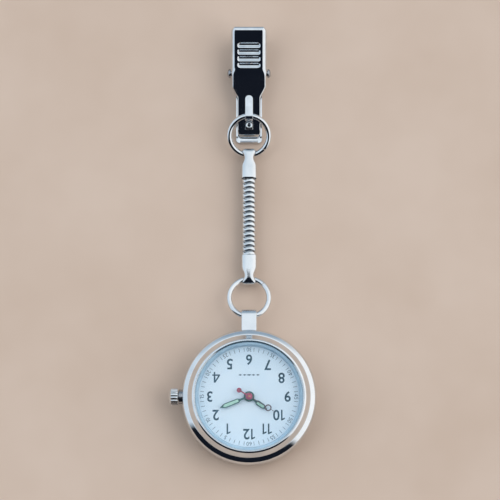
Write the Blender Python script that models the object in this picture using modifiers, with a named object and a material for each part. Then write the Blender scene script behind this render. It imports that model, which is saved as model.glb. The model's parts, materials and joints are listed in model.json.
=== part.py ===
"""Clip-on fob watch: a quartz watch on a short snake chain that hangs from an alligator clip.

The watch lies on its back with the dial up. The origin is the centre of the case back's outer
face, +Z points out of the dial, +Y runs along the chain to the clip and the crown is at -X.
Twelve o'clock is at -Y, so that the wearer reads the hanging watch the right way up.
"""

import math

import bmesh
import bpy
from mathutils import Matrix

MM = 0.001

# ---- Watch case: turned round the Z axis, all heights from the back face
CASE_RADIUS = 14.1 * MM
CASE_WIDEST_Z = 3.9 * MM
CASE_BORE = 11.85 * MM
CASE_LEDGE_Z = 5.45 * MM
BEZEL_SEAT = 12.62 * MM
BEZEL_BORE = 11.22 * MM
BEZEL_LIP = 11.72 * MM
CRYSTAL_RADIUS = 11.4 * MM
CRYSTAL_BASE_Z = 6.87 * MM
CRYSTAL_TOP_Z = 7.8 * MM
BACK_RADIUS = 12.3 * MM
BACK_THICKNESS = 0.7 * MM
DIAL_RADIUS = 11.6 * MM
DIAL_Z = (4.85 * MM, 5.2 * MM)
FIT = 0.05 * MM
ROUND = 40

# ---- Pendant lug and the two jump rings
LUG_HOLE = (16.85 * MM, 3.6 * MM)
LUG_HOLE_RADIUS = 1.0 * MM
LUG_RADIUS = 1.45 * MM
LUG_WIDTH = 3.2 * MM
RING_RADIUS = 4.15 * MM
RING_WIRE = 0.55 * MM
RING_GAP = math.radians(3.0)

# ---- Snake chain
CHAIN_Z = 1.8 * MM
EYE_RADIUS = 1.35 * MM
EYE_HOLE = 0.9 * MM
EYE_WIDTH = 2.4 * MM
FERRULE_RADIUS = 1.8 * MM
FERRULE_LENGTH = 5.0 * MM
LINKS = 16
LINK_RADIUS = 1.5 * MM
LINK_WAVE = 0.12 * MM
LINK_SIDES = 16

# ---- Clip
PIN = (68.6 * MM, 2.5 * MM)
PIN_RADIUS = 0.6 * MM
HOOK_RING = (59.2 * MM, 4.1 * MM)
SHEET = 0.45 * MM
RIVET_Y = 57.35 * MM

# ---- Crown and stem, along the X axis
STEM_Z = 4.2 * MM
STEM_RADIUS = 0.25 * MM
CROWN_RADIUS = 1.95 * MM
CROWN_FACE_X = -16.7 * MM
CROWN_BASE_X = -15.0 * MM
TUBE_RADIUS = 0.94 * MM
LEVER_PIVOT = (-6.5 * MM, 1.8 * MM)
LEVER_NOSE = (-6.2 * MM, 0.19 * MM)
LEVER_POST = 0.18 * MM

# ---- Gear train: teeth, modules and the distance between axes that follows from them
SECONDS_WHEEL, SECONDS_PINION = 48, 6
THIRD_WHEEL, THIRD_PINION = 45, 6
CENTRE_WHEEL = 48
STEP_WHEEL, STEP_PINION, ROTOR_PINION = 30, 6, 8
CANNON_PINION, MINUTE_WHEEL, MINUTE_PINION, HOUR_WHEEL = 8, 24, 6, 24
TRAIN_MODULE = 0.1 * MM
STEP_MODULE = 0.0935 * MM
ROTOR_MODULE = 0.075 * MM
MOTION_MODULE = 0.15 * MM
THIRD_REACH = TRAIN_MODULE * (SECONDS_PINION + THIRD_WHEEL) / 2
CENTRE_MODULE = 2 * THIRD_REACH / (THIRD_PINION + CENTRE_WHEEL)
STEP_REACH = STEP_MODULE * (SECONDS_WHEEL + STEP_PINION) / 2
ROTOR_REACH = ROTOR_MODULE * (STEP_WHEEL + ROTOR_PINION) / 2
MOTION_REACH = MOTION_MODULE * (CANNON_PINION + MINUTE_WHEEL) / 2
HOUR_MODULE = 2 * MOTION_REACH / (MINUTE_PINION + HOUR_WHEEL)
THIRD_ANGLE = math.radians(60)
STEP_ANGLE = math.radians(170)
ROTOR_ANGLE = math.radians(150)
MOTION_ANGLE = math.radians(200)
ARBOR = 0.15 * MM
PIVOT_HOLE = 0.22 * MM
ARBOR_Z = (1.2 * MM, 3.6 * MM)
PLATE_RADIUS = 8.8 * MM
PLATE_Z = (3.3 * MM, 3.75 * MM)
BRIDGE_Z = (1.15 * MM, 1.4 * MM)

# ---- Time shown: ten past ten and fifty seconds
SECOND, MINUTE, HOUR = 50.2, 11.4, 10.19

COLOURS = {
    "chrome": ((0.80, 0.82, 0.84), 0.08, 1.0),
    "steel": ((0.62, 0.63, 0.65), 0.3, 1.0),
    "glass": ((0.86, 0.93, 0.97), 0.02, 0.0),
    "dial_white": ((0.78, 0.88, 0.95), 0.4, 0.0),
    "brass": ((0.72, 0.55, 0.25), 0.3, 1.0),
    "nylon": ((0.85, 0.87, 0.86), 0.5, 0.0),
    "copper": ((0.70, 0.33, 0.18), 0.35, 1.0),
    "board_green": ((0.05, 0.28, 0.14), 0.5, 0.0),
    "rubber": ((0.03, 0.03, 0.03), 0.7, 0.0),
    "hand_green": ((0.60, 0.78, 0.70), 0.4, 0.0),
    "hand_red": ((0.70, 0.28, 0.38), 0.4, 0.0),
}

AIM = {
    "X": (0.0, math.pi / 2, 0.0),
    "-X": (0.0, -math.pi / 2, 0.0),
    "Y": (-math.pi / 2, 0.0, 0.0),
    "Z": (0.0, 0.0, 0.0),
}
SIDE_ON = (math.pi / 2, 0.0, math.pi / 2)


# ------------------------------------------------------------------ tools


def clear_scene():
    """Removes whatever the file opened with."""
    for obj in list(bpy.data.objects):
        bpy.data.objects.remove(obj)


def make_collection(name):
    collection = bpy.data.collections.new(name)
    bpy.context.scene.collection.children.link(collection)
    return collection


def make_materials():
    materials = {}
    for name, (colour, roughness, metallic) in COLOURS.items():
        material = bpy.data.materials.new(name)
        material.use_nodes = True
        shader = material.node_tree.nodes["Principled BSDF"]
        shader.inputs["Base Color"].default_value = (*colour, 1.0)
        shader.inputs["Roughness"].default_value = roughness
        shader.inputs["Metallic"].default_value = metallic
        materials[name] = material
    return materials


def add(name, data, finish, location=(0, 0, 0), rotation=(0, 0, 0)):
    """Puts a mesh or curve in the scene as a part of the watch."""
    obj = bpy.data.objects.new(name, data)
    obj.location = location
    obj.rotation_euler = rotation
    data.materials.append(MATERIALS[finish])
    WATCH.objects.link(obj)
    return obj


def helper(obj):
    """Hides a shape that only cuts or joins another."""
    obj.hide_render = True
    obj.display_type = "WIRE"
    if obj.name in WATCH.objects:
        WATCH.objects.unlink(obj)
    CUTTERS.objects.link(obj)
    return obj


def arc(centre, radii, start, end, count):
    """Points on an elliptical arc, angles in degrees."""
    points = []
    for i in range(count):
        angle = math.radians(start + (end - start) * i / (count - 1))
        points.append((centre[0] + radii[0] * math.cos(angle), centre[1] + radii[1] * math.sin(angle)))
    return points


def circle(radius, count, centre=(0.0, 0.0)):
    return arc(centre, (radius, radius), 0, 360 * (count - 1) / count, count)


def polar(radius, angle, centre=(0.0, 0.0)):
    return centre[0] + radius * math.cos(angle), centre[1] + radius * math.sin(angle)


def turned(name, profile, finish, steps=ROUND, location=(0, 0, 0), aim="Z"):
    """Spins (radius, height) points round an axis. A profile that starts on the axis makes a solid."""
    follow = profile[1:] + profile[:1]
    area = sum(a[0] * b[1] - b[0] * a[1] for a, b in zip(profile, follow))
    points = profile[::-1] if area > 0 else profile
    edges = [(i, i + 1) for i in range(len(points) - 1)]
    if min(p[0] for p in points) > 0:
        edges.append((len(points) - 1, 0))
    mesh = bpy.data.meshes.new(name)
    mesh.from_pydata([(r, 0.0, z) for r, z in points], edges, [])
    obj = add(name, mesh, finish, location, AIM[aim])
    screw = obj.modifiers.new("spin", "SCREW")
    screw.steps = screw.render_steps = steps
    screw.use_merge_vertices = True
    screw.merge_threshold = 1e-6
    screw.use_smooth_shade = True
    return obj


def flat(name, outlines, z_range, finish, rotation=(0, 0, 0), location=(0, 0)):
    """A sheet cut to closed outlines. Inner outlines are holes. z_range is along the sheet's normal."""
    curve = bpy.data.curves.new(name, "CURVE")
    curve.dimensions = "2D"
    curve.fill_mode = "BOTH"
    curve.extrude = (z_range[1] - z_range[0]) / 2
    for outline in outlines:
        spline = curve.splines.new("POLY")
        spline.points.add(len(outline) - 1)
        for point, (x, y) in zip(spline.points, outline):
            point.co = (x, y, 0.0, 1.0)
        spline.use_cyclic_u = True
    middle = (z_range[0] + z_range[1]) / 2
    if rotation == SIDE_ON:
        return add(name, curve, finish, (middle, *location), rotation)
    return add(name, curve, finish, (*location, middle), rotation)


def wire(name, points, radius, finish, sides=2):
    curve = bpy.data.curves.new(name, "CURVE")
    curve.dimensions = "3D"
    curve.bevel_depth = radius
    curve.bevel_resolution = sides
    curve.use_fill_caps = True
    spline = curve.splines.new("POLY")
    spline.points.add(len(points) - 1)
    for point, place in zip(spline.points, points):
        point.co = (*place, 1.0)
    return add(name, curve, finish)


def as_mesh(obj):
    """Turns a curve, or an object with modifiers, into a plain mesh in the same place."""
    bpy.context.view_layer.update()
    graph = bpy.context.evaluated_depsgraph_get()
    mesh = bpy.data.meshes.new_from_object(obj.evaluated_get(graph))
    shape = bmesh.new()
    shape.from_mesh(mesh)
    bmesh.ops.remove_doubles(shape, verts=shape.verts, dist=1e-7)
    shape.to_mesh(mesh)
    shape.free()
    name, place = obj.name, obj.matrix_world.copy()
    bpy.data.objects.remove(obj)
    made = bpy.data.objects.new(name, mesh)
    made.name = name
    made.matrix_world = place
    WATCH.objects.link(made)
    return made


def cylinder(name, radius, depth, centre, finish, aim="Z", sides=16):
    bpy.ops.mesh.primitive_cylinder_add(vertices=sides, radius=radius, depth=depth)
    obj = bpy.context.object
    mesh = obj.data
    bpy.data.objects.remove(obj)
    return add(name, mesh, finish, centre, AIM[aim])


def box(name, low, high, finish):
    shape = bmesh.new()
    size = [b - a for a, b in zip(low, high)]
    bmesh.ops.create_cube(shape, size=1.0, matrix=Matrix.Diagonal((*size, 1.0)))
    mesh = bpy.data.meshes.new(name)
    shape.to_mesh(mesh)
    shape.free()
    return add(name, mesh, finish, [(a + b) / 2 for a, b in zip(low, high)])


def combine(base, other, operation):
    """Joins or cuts a mesh with another one, which becomes a hidden helper."""
    modifier = base.modifiers.new(operation.lower(), "BOOLEAN")
    modifier.operation = operation
    modifier.object = helper(other)
    return base


def join(base, *others):
    for other in others:
        combine(base, other, "UNION")
    return base


def cut(base, *others):
    for other in others:
        combine(base, other, "DIFFERENCE")
    return base


def pivot(name, place, parent=None):
    """An empty on a joint's axis, which carries the pieces that turn or slide there."""
    empty = bpy.data.objects.new(name, None)
    empty.empty_display_size = MM
    empty.location = place
    WATCH.objects.link(empty)
    return carry(parent, empty)[0] if parent else empty


def carry(parent, *pieces):
    bpy.context.view_layer.update()
    for piece in pieces:
        place = piece.matrix_world.copy()
        piece.parent = parent
        piece.matrix_parent_inverse = parent.matrix_world.inverted()
        piece.matrix_world = place
    return pieces


# ------------------------------------------------------------------ watch case


def make_case_body():
    """Barrel-shaped middle with its cast pendant lug, bored for the movement and the crown tube."""
    side = arc((12.3 * MM, CASE_WIDEST_Z), (CASE_RADIUS - 12.3 * MM, 3.35 * MM), -78, 0, 6)
    shoulder = arc((12.3 * MM, CASE_WIDEST_Z), (CASE_RADIUS - 12.3 * MM, 2.5 * MM), 0, 72, 6)[1:]
    base_z, back_seat, step_z = side[0][1], BACK_RADIUS + FIT, 1.25 * MM
    inside = [
        (BEZEL_SEAT, shoulder[-1][1]),
        (BEZEL_SEAT, CASE_LEDGE_Z),
        (CASE_BORE, CASE_LEDGE_Z),
        (CASE_BORE, step_z),
        (back_seat, step_z),
        (back_seat, base_z),
    ]
    body = as_mesh(turned("case_body", side + shoulder + inside, "chrome"))
    y, z = LUG_HOLE
    root = 13.0 * MM - y
    nose = arc((0, 0), (LUG_RADIUS, LUG_RADIUS), -90, 90, 9)
    outline = [(root, -LUG_RADIUS)] + nose + [(root, LUG_RADIUS)]
    half = LUG_WIDTH / 2
    hole = circle(LUG_HOLE_RADIUS, 16)
    lug = as_mesh(flat("lug_shape", [outline, hole], (-half, half), "chrome", SIDE_ON, (y, z)))
    tube_hole = cylinder("tube_hole", 1.0 * MM, 6 * MM, (-13.5 * MM, 0, STEM_Z), "chrome", "X", 24)
    return cut(join(body, lug), tube_hole)


def make_case_shells():
    """Bezel, crystal and its gasket, snap back and its gasket, and the ring round the dial."""
    overhang = 12.78 * MM
    crown_line = arc((11.95 * MM, 6.5 * MM), (0.83 * MM, 0.95 * MM), 0, 100, 8)
    bezel_base = CASE_LEDGE_Z + FIT
    bezel = crown_line + [
        (BEZEL_LIP, crown_line[-1][1] - 0.1 * MM),
        (BEZEL_LIP, CRYSTAL_BASE_Z - FIT),
        (BEZEL_BORE, CRYSTAL_BASE_Z - FIT),
        (BEZEL_BORE, bezel_base),
        (BEZEL_SEAT - FIT, bezel_base),
        (BEZEL_SEAT - FIT, 6.34 * MM),
        (overhang, 6.34 * MM),
    ]
    turned("bezel", bezel, "chrome")
    dome = [(0.0, CRYSTAL_TOP_Z), (6.0 * MM, 7.76 * MM), (10.8 * MM, 7.62 * MM)]
    rim = [(CRYSTAL_RADIUS, 7.36 * MM), (CRYSTAL_RADIUS, CRYSTAL_BASE_Z), (0.0, CRYSTAL_BASE_Z)]
    turned("crystal", dome + rim, "glass")
    low, high = CRYSTAL_BASE_Z, 7.34 * MM
    inner, outer = CRYSTAL_RADIUS + FIT, BEZEL_LIP - FIT
    turned("crystal_gasket", [(inner, low), (inner, high), (outer, high), (outer, low)], "nylon")
    wall = BEZEL_BORE - FIT
    low, high = DIAL_Z[1] + FIT, CRYSTAL_BASE_Z - FIT
    turned("dial_ring", [(10.45 * MM, low), (10.75 * MM, high), (wall, high), (wall, low)], "dial_white")
    snap = 11.3 * MM
    back = [
        (0.0, 0.0),
        (11.9 * MM, 0.0),
        (BACK_RADIUS, 0.3 * MM),
        (BACK_RADIUS, 1.2 * MM),
        (11.95 * MM, 1.2 * MM),
        (11.95 * MM, BACK_THICKNESS + 0.05 * MM),
        (snap + 0.25 * MM, BACK_THICKNESS + 0.05 * MM),
        (snap + 0.25 * MM, 1.3 * MM),
        (snap, 1.3 * MM),
        (snap, BACK_THICKNESS),
        (0.0, BACK_THICKNESS),
    ]
    turned("case_back", back, "steel")
    low, high = 0.82 * MM, 1.18 * MM
    inner, outer = 11.62 * MM, 11.88 * MM
    turned("back_gasket", [(inner, low), (inner, high), (outer, high), (outer, low)], "rubber")


def make_dial():
    low, high = DIAL_Z
    section = [(1.0 * MM, low), (1.0 * MM, high), (DIAL_RADIUS, high), (DIAL_RADIUS, low)]
    turned("dial", section, "dial_white")


# ------------------------------------------------------------------ crown and setting work


def make_crown():
    """Fluted crown on its stem, which slides out and turns in a tube pressed into the case."""
    low, high = CROWN_FACE_X, CROWN_BASE_X
    flutes, depth = 18, 0.12 * MM
    outline = []
    for i in range(2 * flutes):
        radius = CROWN_RADIUS - depth * (i % 2)
        outline.append(polar(radius, math.pi * i / flutes))
    crown = as_mesh(flat("crown", [outline], (low + 0.25 * MM, high), "chrome"))
    crown.rotation_euler = AIM["X"]
    crown.location = ((low + 0.25 * MM + high) / 2, 0, STEM_Z)
    face = turned(
        "crown_face",
        [(0.0, 0.0), (1.2 * MM, 0.04 * MM), (1.7 * MM, 0.25 * MM), (1.7 * MM, 0.6 * MM), (0.0, 0.6 * MM)],
        "chrome",
        24,
        (low, 0, STEM_Z),
        "X",
    )
    recess = cylinder("crown_recess", 1.38 * MM, 1.2 * MM, (high, 0, STEM_Z), "chrome", "X", 24)
    bore = cylinder("crown_bore", 0.3 * MM, 2.0 * MM, (high - 0.1 * MM, 0, STEM_Z), "chrome", "X", 12)
    cut(join(crown, as_mesh(face)), recess, bore)
    groove = (-6.5 * MM, -5.9 * MM)
    stem = cylinder("winding_stem", STEM_RADIUS, 11.3 * MM, (-10.35 * MM, 0, STEM_Z), "steel", "X", 12)
    neck = turned(
        "stem_groove",
        [(0.12 * MM, groove[0]), (0.4 * MM, groove[0]), (0.4 * MM, groove[1]), (0.12 * MM, groove[1])],
        "steel",
        12,
        (0, 0, STEM_Z),
        "X",
    )
    cut(stem, as_mesh(neck))
    seal = [(1.0 * MM, 0.0), (1.0 * MM, 0.3 * MM), (1.3 * MM, 0.3 * MM), (1.3 * MM, 0.0)]
    ring = turned("crown_seal", seal, "rubber", 24, (-15.5 * MM, 0, STEM_Z), "X")
    bore, out, into = 0.6 * MM, -15.4 * MM, -12.2 * MM
    wall = [(bore, out), (bore, into), (TUBE_RADIUS, into), (TUBE_RADIUS, out)]
    turned("crown_tube", wall, "steel", 24, (0, 0, STEM_Z), "X")
    slide = pivot("crown_pull_axis", (CROWN_BASE_X, 0, STEM_Z))
    spin = pivot("crown_turn_axis", (CROWN_BASE_X, 0, STEM_Z), slide)
    carry(slide, ring)
    carry(spin, crown, stem)


def make_setting_lever():
    """Lever on the dial side of the plate whose nose rides in the stem's groove."""
    nose_x, nose_y = LEVER_NOSE
    outline = arc(LEVER_PIVOT, (0.45 * MM, 0.45 * MM), 10, 190, 7)
    outline += [(nose_x - 0.12 * MM, nose_y), (nose_x + 0.12 * MM, nose_y)]
    hole = circle(LEVER_POST + FIT, 10, LEVER_PIVOT)
    lever = flat("setting_lever", [outline, hole], (4.1 * MM, 4.3 * MM), "steel")
    carry(pivot("setting_lever_axis", (*LEVER_PIVOT, 4.2 * MM)), lever)


# ------------------------------------------------------------------ movement


def gear_outline(teeth, module, toward, meshes_gap=False, centre=(0.0, 0.0)):
    """Pointed teeth. One tooth, or one gap if meshes_gap, faces the angle toward."""
    tip = module * (teeth / 2 + 0.6)
    root = module * (teeth / 2 - 1.2)
    step = 2 * math.pi / teeth
    start = toward + (step / 2 if meshes_gap else 0.0)
    outline = []
    for i in range(teeth):
        middle = start + i * step
        outline.append(polar(tip, middle - 0.07 * step, centre))
        outline.append(polar(tip, middle + 0.07 * step, centre))
        outline.append(polar(root, middle + step / 2, centre))
    return outline


def gear(name, outline, z_range, finish, bore=None, centre=(0.0, 0.0)):
    outlines = [outline] + ([circle(bore, 12, centre)] if bore else [])
    return as_mesh(flat(name, outlines, z_range, finish))


def arbor(name, centre, z_range, radius=ARBOR, finish="steel"):
    middle = (*centre, (z_range[0] + z_range[1]) / 2)
    return cylinder(name, radius, z_range[1] - z_range[0], middle, finish, "Z", 12)


def train_axes():
    """Where each arbor of the train stands."""
    third = polar(THIRD_REACH, THIRD_ANGLE)
    step = polar(STEP_REACH, STEP_ANGLE)
    rotor = polar(ROTOR_REACH, ROTOR_ANGLE, step)
    motion = polar(MOTION_REACH, MOTION_ANGLE)
    return third, step, rotor, motion


def make_train():
    """Rotor, step wheel, seconds wheel, third wheel and centre wheel, then the motion work."""
    third, step, rotor, motion = train_axes()
    brass = "brass"

    magnet = arbor("magnet_shape", rotor, (1.7 * MM, 2.3 * MM), 0.5 * MM)
    outline = gear_outline(ROTOR_PINION, ROTOR_MODULE, ROTOR_ANGLE + math.pi, True, rotor)
    leaf = gear("rotor_leaves", outline, (2.38 * MM, 2.68 * MM), brass)
    rotor_piece = join(arbor("rotor", rotor, ARBOR_Z, ARBOR * 0.8), magnet, leaf)
    carry(pivot("rotor_axis", (*rotor, 2.0 * MM)), rotor_piece)

    outline = gear_outline(STEP_WHEEL, ROTOR_MODULE, ROTOR_ANGLE, False, step)
    wheel = gear("step_teeth", outline, (2.45 * MM, 2.6 * MM), brass)
    outline = gear_outline(STEP_PINION, STEP_MODULE, STEP_ANGLE + math.pi, True, step)
    leaf = gear("step_leaves", outline, (1.8 * MM, 2.15 * MM), brass)
    step_piece = join(arbor("step_wheel", step, ARBOR_Z), wheel, leaf)
    carry(pivot("step_axis", (*step, 2.0 * MM)), step_piece)

    outline = gear_outline(SECONDS_WHEEL, STEP_MODULE, STEP_ANGLE)
    wheel = gear("seconds_teeth", outline, (1.9 * MM, 2.05 * MM), brass)
    outline = gear_outline(SECONDS_PINION, TRAIN_MODULE, THIRD_ANGLE)
    leaf = gear("seconds_leaves", outline, (2.12 * MM, 2.45 * MM), brass)
    seconds_piece = join(arbor("seconds_wheel", (0, 0), (1.2 * MM, 6.55 * MM)), wheel, leaf)

    outline = gear_outline(THIRD_WHEEL, TRAIN_MODULE, THIRD_ANGLE + math.pi, True, third)
    wheel = gear("third_teeth", outline, (2.2 * MM, 2.35 * MM), brass)
    outline = gear_outline(THIRD_PINION, CENTRE_MODULE, THIRD_ANGLE + math.pi, True, third)
    leaf = gear("third_leaves", outline, (2.7 * MM, 3.1 * MM), brass)
    third_piece = join(arbor("third_wheel", third, ARBOR_Z), wheel, leaf)
    carry(pivot("third_axis", (*third, 2.0 * MM)), third_piece)

    tube = [(0.26 * MM, 2.75 * MM), (0.26 * MM, 6.1 * MM), (0.42 * MM, 6.1 * MM), (0.42 * MM, 2.75 * MM)]
    bore = 0.34 * MM
    outline = gear_outline(CENTRE_WHEEL, CENTRE_MODULE, THIRD_ANGLE)
    wheel = gear("centre_teeth", outline, (2.8 * MM, 2.95 * MM), brass, bore)
    outline = gear_outline(CANNON_PINION, MOTION_MODULE, MOTION_ANGLE)
    leaf = gear("cannon_leaves", outline, (3.84 * MM, 4.1 * MM), brass, bore)
    centre_piece = join(as_mesh(turned("centre_wheel", tube, brass, 16)), wheel, leaf)

    outline = gear_outline(MINUTE_WHEEL, MOTION_MODULE, MOTION_ANGLE + math.pi, True, motion)
    wheel = gear("minute_teeth", outline, (3.88 * MM, 4.03 * MM), brass)
    outline = gear_outline(MINUTE_PINION, HOUR_MODULE, MOTION_ANGLE + math.pi, True, motion)
    leaf = gear("minute_leaves", outline, (3.98 * MM, 4.55 * MM), brass)
    minute_piece = join(arbor("minute_wheel", motion, (3.4 * MM, 4.65 * MM)), wheel, leaf)
    carry(pivot("minute_wheel_axis", (*motion, 4.0 * MM)), minute_piece)

    tube = [(0.5 * MM, 4.18 * MM), (0.5 * MM, 5.75 * MM), (0.8 * MM, 5.75 * MM), (0.8 * MM, 4.18 * MM)]
    outline = gear_outline(HOUR_WHEEL, HOUR_MODULE, MOTION_ANGLE)
    wheel = gear("hour_teeth", outline, (4.25 * MM, 4.45 * MM), brass, 0.65 * MM)
    hour_piece = join(as_mesh(turned("hour_wheel", tube, brass, 20)), wheel)
    return seconds_piece, centre_piece, hour_piece


def make_movement():
    """Plate, bridge, holder, motor, circuit and cell."""
    third, step, rotor, motion = train_axes()
    holes = [circle(0.52 * MM, 16)]
    holes += [circle(PIVOT_HOLE, 10, place) for place in (third, step, rotor, motion)]
    screw = (3.6 * MM, -1.3 * MM)
    holes.append(circle(0.32 * MM, 10, screw))
    plate = as_mesh(flat("main_plate", [circle(PLATE_RADIUS, ROUND), *holes], PLATE_Z, "brass"))
    join(plate, arbor("lever_post", LEVER_PIVOT, (PLATE_Z[0] + FIT, 4.5 * MM), LEVER_POST, "brass"))

    bridge = [(-4.6, 2.3), (-4.4, 0.0), (-1.0, -1.3), (3.4, -2.0), (4.3, -1.2), (3.7, 3.9), (0.2, 4.6)]
    places = ((0.0, 0.0), third, step, rotor)
    bridge_holes = [circle(PIVOT_HOLE, 10, place) for place in places] + [circle(0.32 * MM, 10, screw)]
    flat("train_bridge", [[(x * MM, y * MM) for x, y in bridge], *bridge_holes], BRIDGE_Z, "steel")

    head = cylinder("screw_head", 0.55 * MM, 0.17 * MM, (*screw, 1.035 * MM), "steel", "Z", 16)
    shank = cylinder("bridge_screw", 0.25 * MM, 2.6 * MM, (*screw, 2.3 * MM), "steel", "Z", 12)
    low = (screw[0] - 0.7 * MM, screw[1] - 0.07 * MM, 0.8 * MM)
    high = (screw[0] + 0.7 * MM, screw[1] + 0.07 * MM, 1.0 * MM)
    slot = box("screw_slot", low, high, "steel")
    cut(join(shank, head), slot)

    holder = [(8.95 * MM, 1.4 * MM), (8.95 * MM, 4.78 * MM), (11.7 * MM, 4.78 * MM), (11.7 * MM, 1.4 * MM)]
    stem_slot = box("stem_slot", (-12.5 * MM, -0.8 * MM, 3.6 * MM), (-8.0 * MM, 0.8 * MM, 5.2 * MM), "nylon")
    cut(as_mesh(turned("movement_holder", holder, "nylon")), stem_slot)

    cell = (0.0, -5.5 * MM)
    low, rim = 1.1 * MM, 2.3 * MM
    can = [(0.0, low), (2.8 * MM, low), (2.9 * MM, low + 0.1 * MM), (2.9 * MM, rim), (2.5 * MM, 2.4 * MM)]
    turned("battery_cell", can + [(2.4 * MM, 2.7 * MM), (0.0, 2.7 * MM)], "steel", 32, (*cell, 0))
    strap = [(-4.2, -6.1), (4.2, -6.1), (4.5, -5.5), (4.2, -4.9), (-4.2, -4.9), (-4.5, -5.5)]
    flat("battery_clamp", [[(x * MM, y * MM) for x, y in strap]], (0.8 * MM, 1.0 * MM), "steel")

    stator = [(-6.9, 4.8), (-5.6, 4.8), (-3.0, 2.1), (-2.95, 0.9), (-3.3, 0.1), (-5.4, -4.2), (-6.9, -4.2)]
    stator += [(-6.9, -3.5), (-5.4, -3.5), (-4.6, 0.3), (-4.6, 1.9), (-5.4, 4.0), (-6.9, 4.0)]
    rotor_hole = circle(0.6 * MM, 16, rotor)
    flat("stator", [[(x * MM, y * MM) for x, y in stator], rotor_hole], (1.9 * MM, 2.1 * MM), "steel")
    bobbin = cylinder("motor_coil", 0.8 * MM, 6.6 * MM, (-6.3 * MM, 0.3 * MM, 2.35 * MM), "copper", "Y", 20)
    core = box("coil_core", (-6.7 * MM, -4.1 * MM, 2.2 * MM), (-5.9 * MM, 4.7 * MM, 2.5 * MM), "steel")
    join(bobbin, core)

    edge = 8.4 * MM
    board = arc((0, 0), (edge, edge), -55, 55, 13)
    flat("circuit_board", [board], (1.3 * MM, 1.6 * MM), "board_green")
    cylinder("quartz_can", 0.72 * MM, 5.0 * MM, (6.2 * MM, 0, 2.38 * MM), "steel", "Y", 16)


def hand_outline(hub, neck, blade, start, shoulder, tip, angle):
    """Hub, narrow neck, lume-filled blade and fine tip, pointing along angle."""
    spread = math.asin(neck / hub)
    turn = [2 * math.pi * i / 16 for i in range(17)]
    points = [polar(hub, a) for a in (spread + t * (1 - spread / math.pi) for t in turn)]
    points += [(start, -neck), (start + blade - neck, -blade), (shoulder, -blade), (tip, -0.05 * MM)]
    points += [(tip, 0.05 * MM), (shoulder, blade), (start + blade - neck, blade), (start, neck)]
    cos, sin = math.cos(angle), math.sin(angle)
    return [(x * cos - y * sin, x * sin + y * cos) for x, y in points]


def clock_angle(turns):
    """Direction of a hand that has gone that share of a turn from twelve, which is at -Y."""
    return math.radians(-90) - 2 * math.pi * turns


def make_hands(seconds_piece, centre_piece, hour_piece):
    hour_dir, minute_dir, second_dir = (clock_angle(t) for t in (HOUR / 12, MINUTE / 60, SECOND / 60))
    outline = hand_outline(1.1 * MM, 0.28 * MM, 0.52 * MM, 1.6 * MM, 3.6 * MM, 4.6 * MM, hour_dir)
    hour_hand = flat("hour_hand", [outline, circle(0.82 * MM, 16)], (5.5 * MM, 5.62 * MM), "hand_green")
    outline = hand_outline(0.85 * MM, 0.22 * MM, 0.5 * MM, 1.9 * MM, 5.4 * MM, 6.5 * MM, minute_dir)
    minute_hand = flat("minute_hand", [outline, circle(0.44 * MM, 14)], (5.9 * MM, 6.02 * MM), "hand_green")

    reach, tail = 4.63 * MM, -2.4 * MM
    needle = [(tail, -0.08), (6.4 * MM, -0.05), (6.4 * MM, 0.05), (tail, 0.08)]
    needle = [(x, y * MM if abs(y) > 0.01 else y) for x, y in needle]
    cos, sin = math.cos(second_dir), math.sin(second_dir)
    needle = [(x * cos - y * sin, x * sin + y * cos) for x, y in needle]
    z = (6.25 * MM, 6.35 * MM)
    second_hand = as_mesh(flat("second_hand", [needle], z, "hand_red"))
    eye = polar(reach, second_dir)
    counter = polar(tail, second_dir)
    hub = as_mesh(flat("second_hub", [circle(0.7 * MM, 20)], z, "hand_red"))
    loop = as_mesh(flat("second_eye", [circle(0.62 * MM, 20, eye)], z, "hand_red"))
    poise = as_mesh(flat("second_poise", [circle(0.48 * MM, 16, counter)], z, "hand_red"))
    window = cylinder("second_window", 0.42 * MM, MM, (*eye, 6.3 * MM), "hand_red", "Z", 20)
    bore = cylinder("second_bore", 0.18 * MM, MM, (0, 0, 6.3 * MM), "hand_red", "Z", 12)
    cut(join(second_hand, hub, loop, poise), window, bore)

    carry(pivot("seconds_axis", (0, 0, 2.0 * MM)), seconds_piece, second_hand)
    carry(pivot("minutes_axis", (0, 0, 2.9 * MM)), centre_piece, minute_hand)
    carry(pivot("hours_axis", (0, 0, 4.3 * MM)), hour_piece, hour_hand)


# ------------------------------------------------------------------ rings and chain


def ring_tilt(low, high):
    """Angle of a ring that leans from one (y, z) place to another, and how far it reaches along Y."""
    angle = math.asin((high - low) / (2 * RING_RADIUS))
    return angle, 2 * RING_RADIUS * math.cos(angle)


def make_ring(name, near, far, joint_angle):
    """Jump ring between two (y, z) places, cut through at joint_angle."""
    tilt = math.atan2(far[1] - near[1], far[0] - near[0])
    middle = ((near[0] + far[0]) / 2, (near[1] + far[1]) / 2)
    points = []
    steps = 32
    for i in range(steps + 1):
        angle = joint_angle + RING_GAP / 2 + (2 * math.pi - RING_GAP) * i / steps
        x, along = polar(RING_RADIUS, angle)
        points.append((x, middle[0] + along * math.cos(tilt), middle[1] + along * math.sin(tilt)))
    return wire(name, points, RING_WIRE, "chrome")


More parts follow.
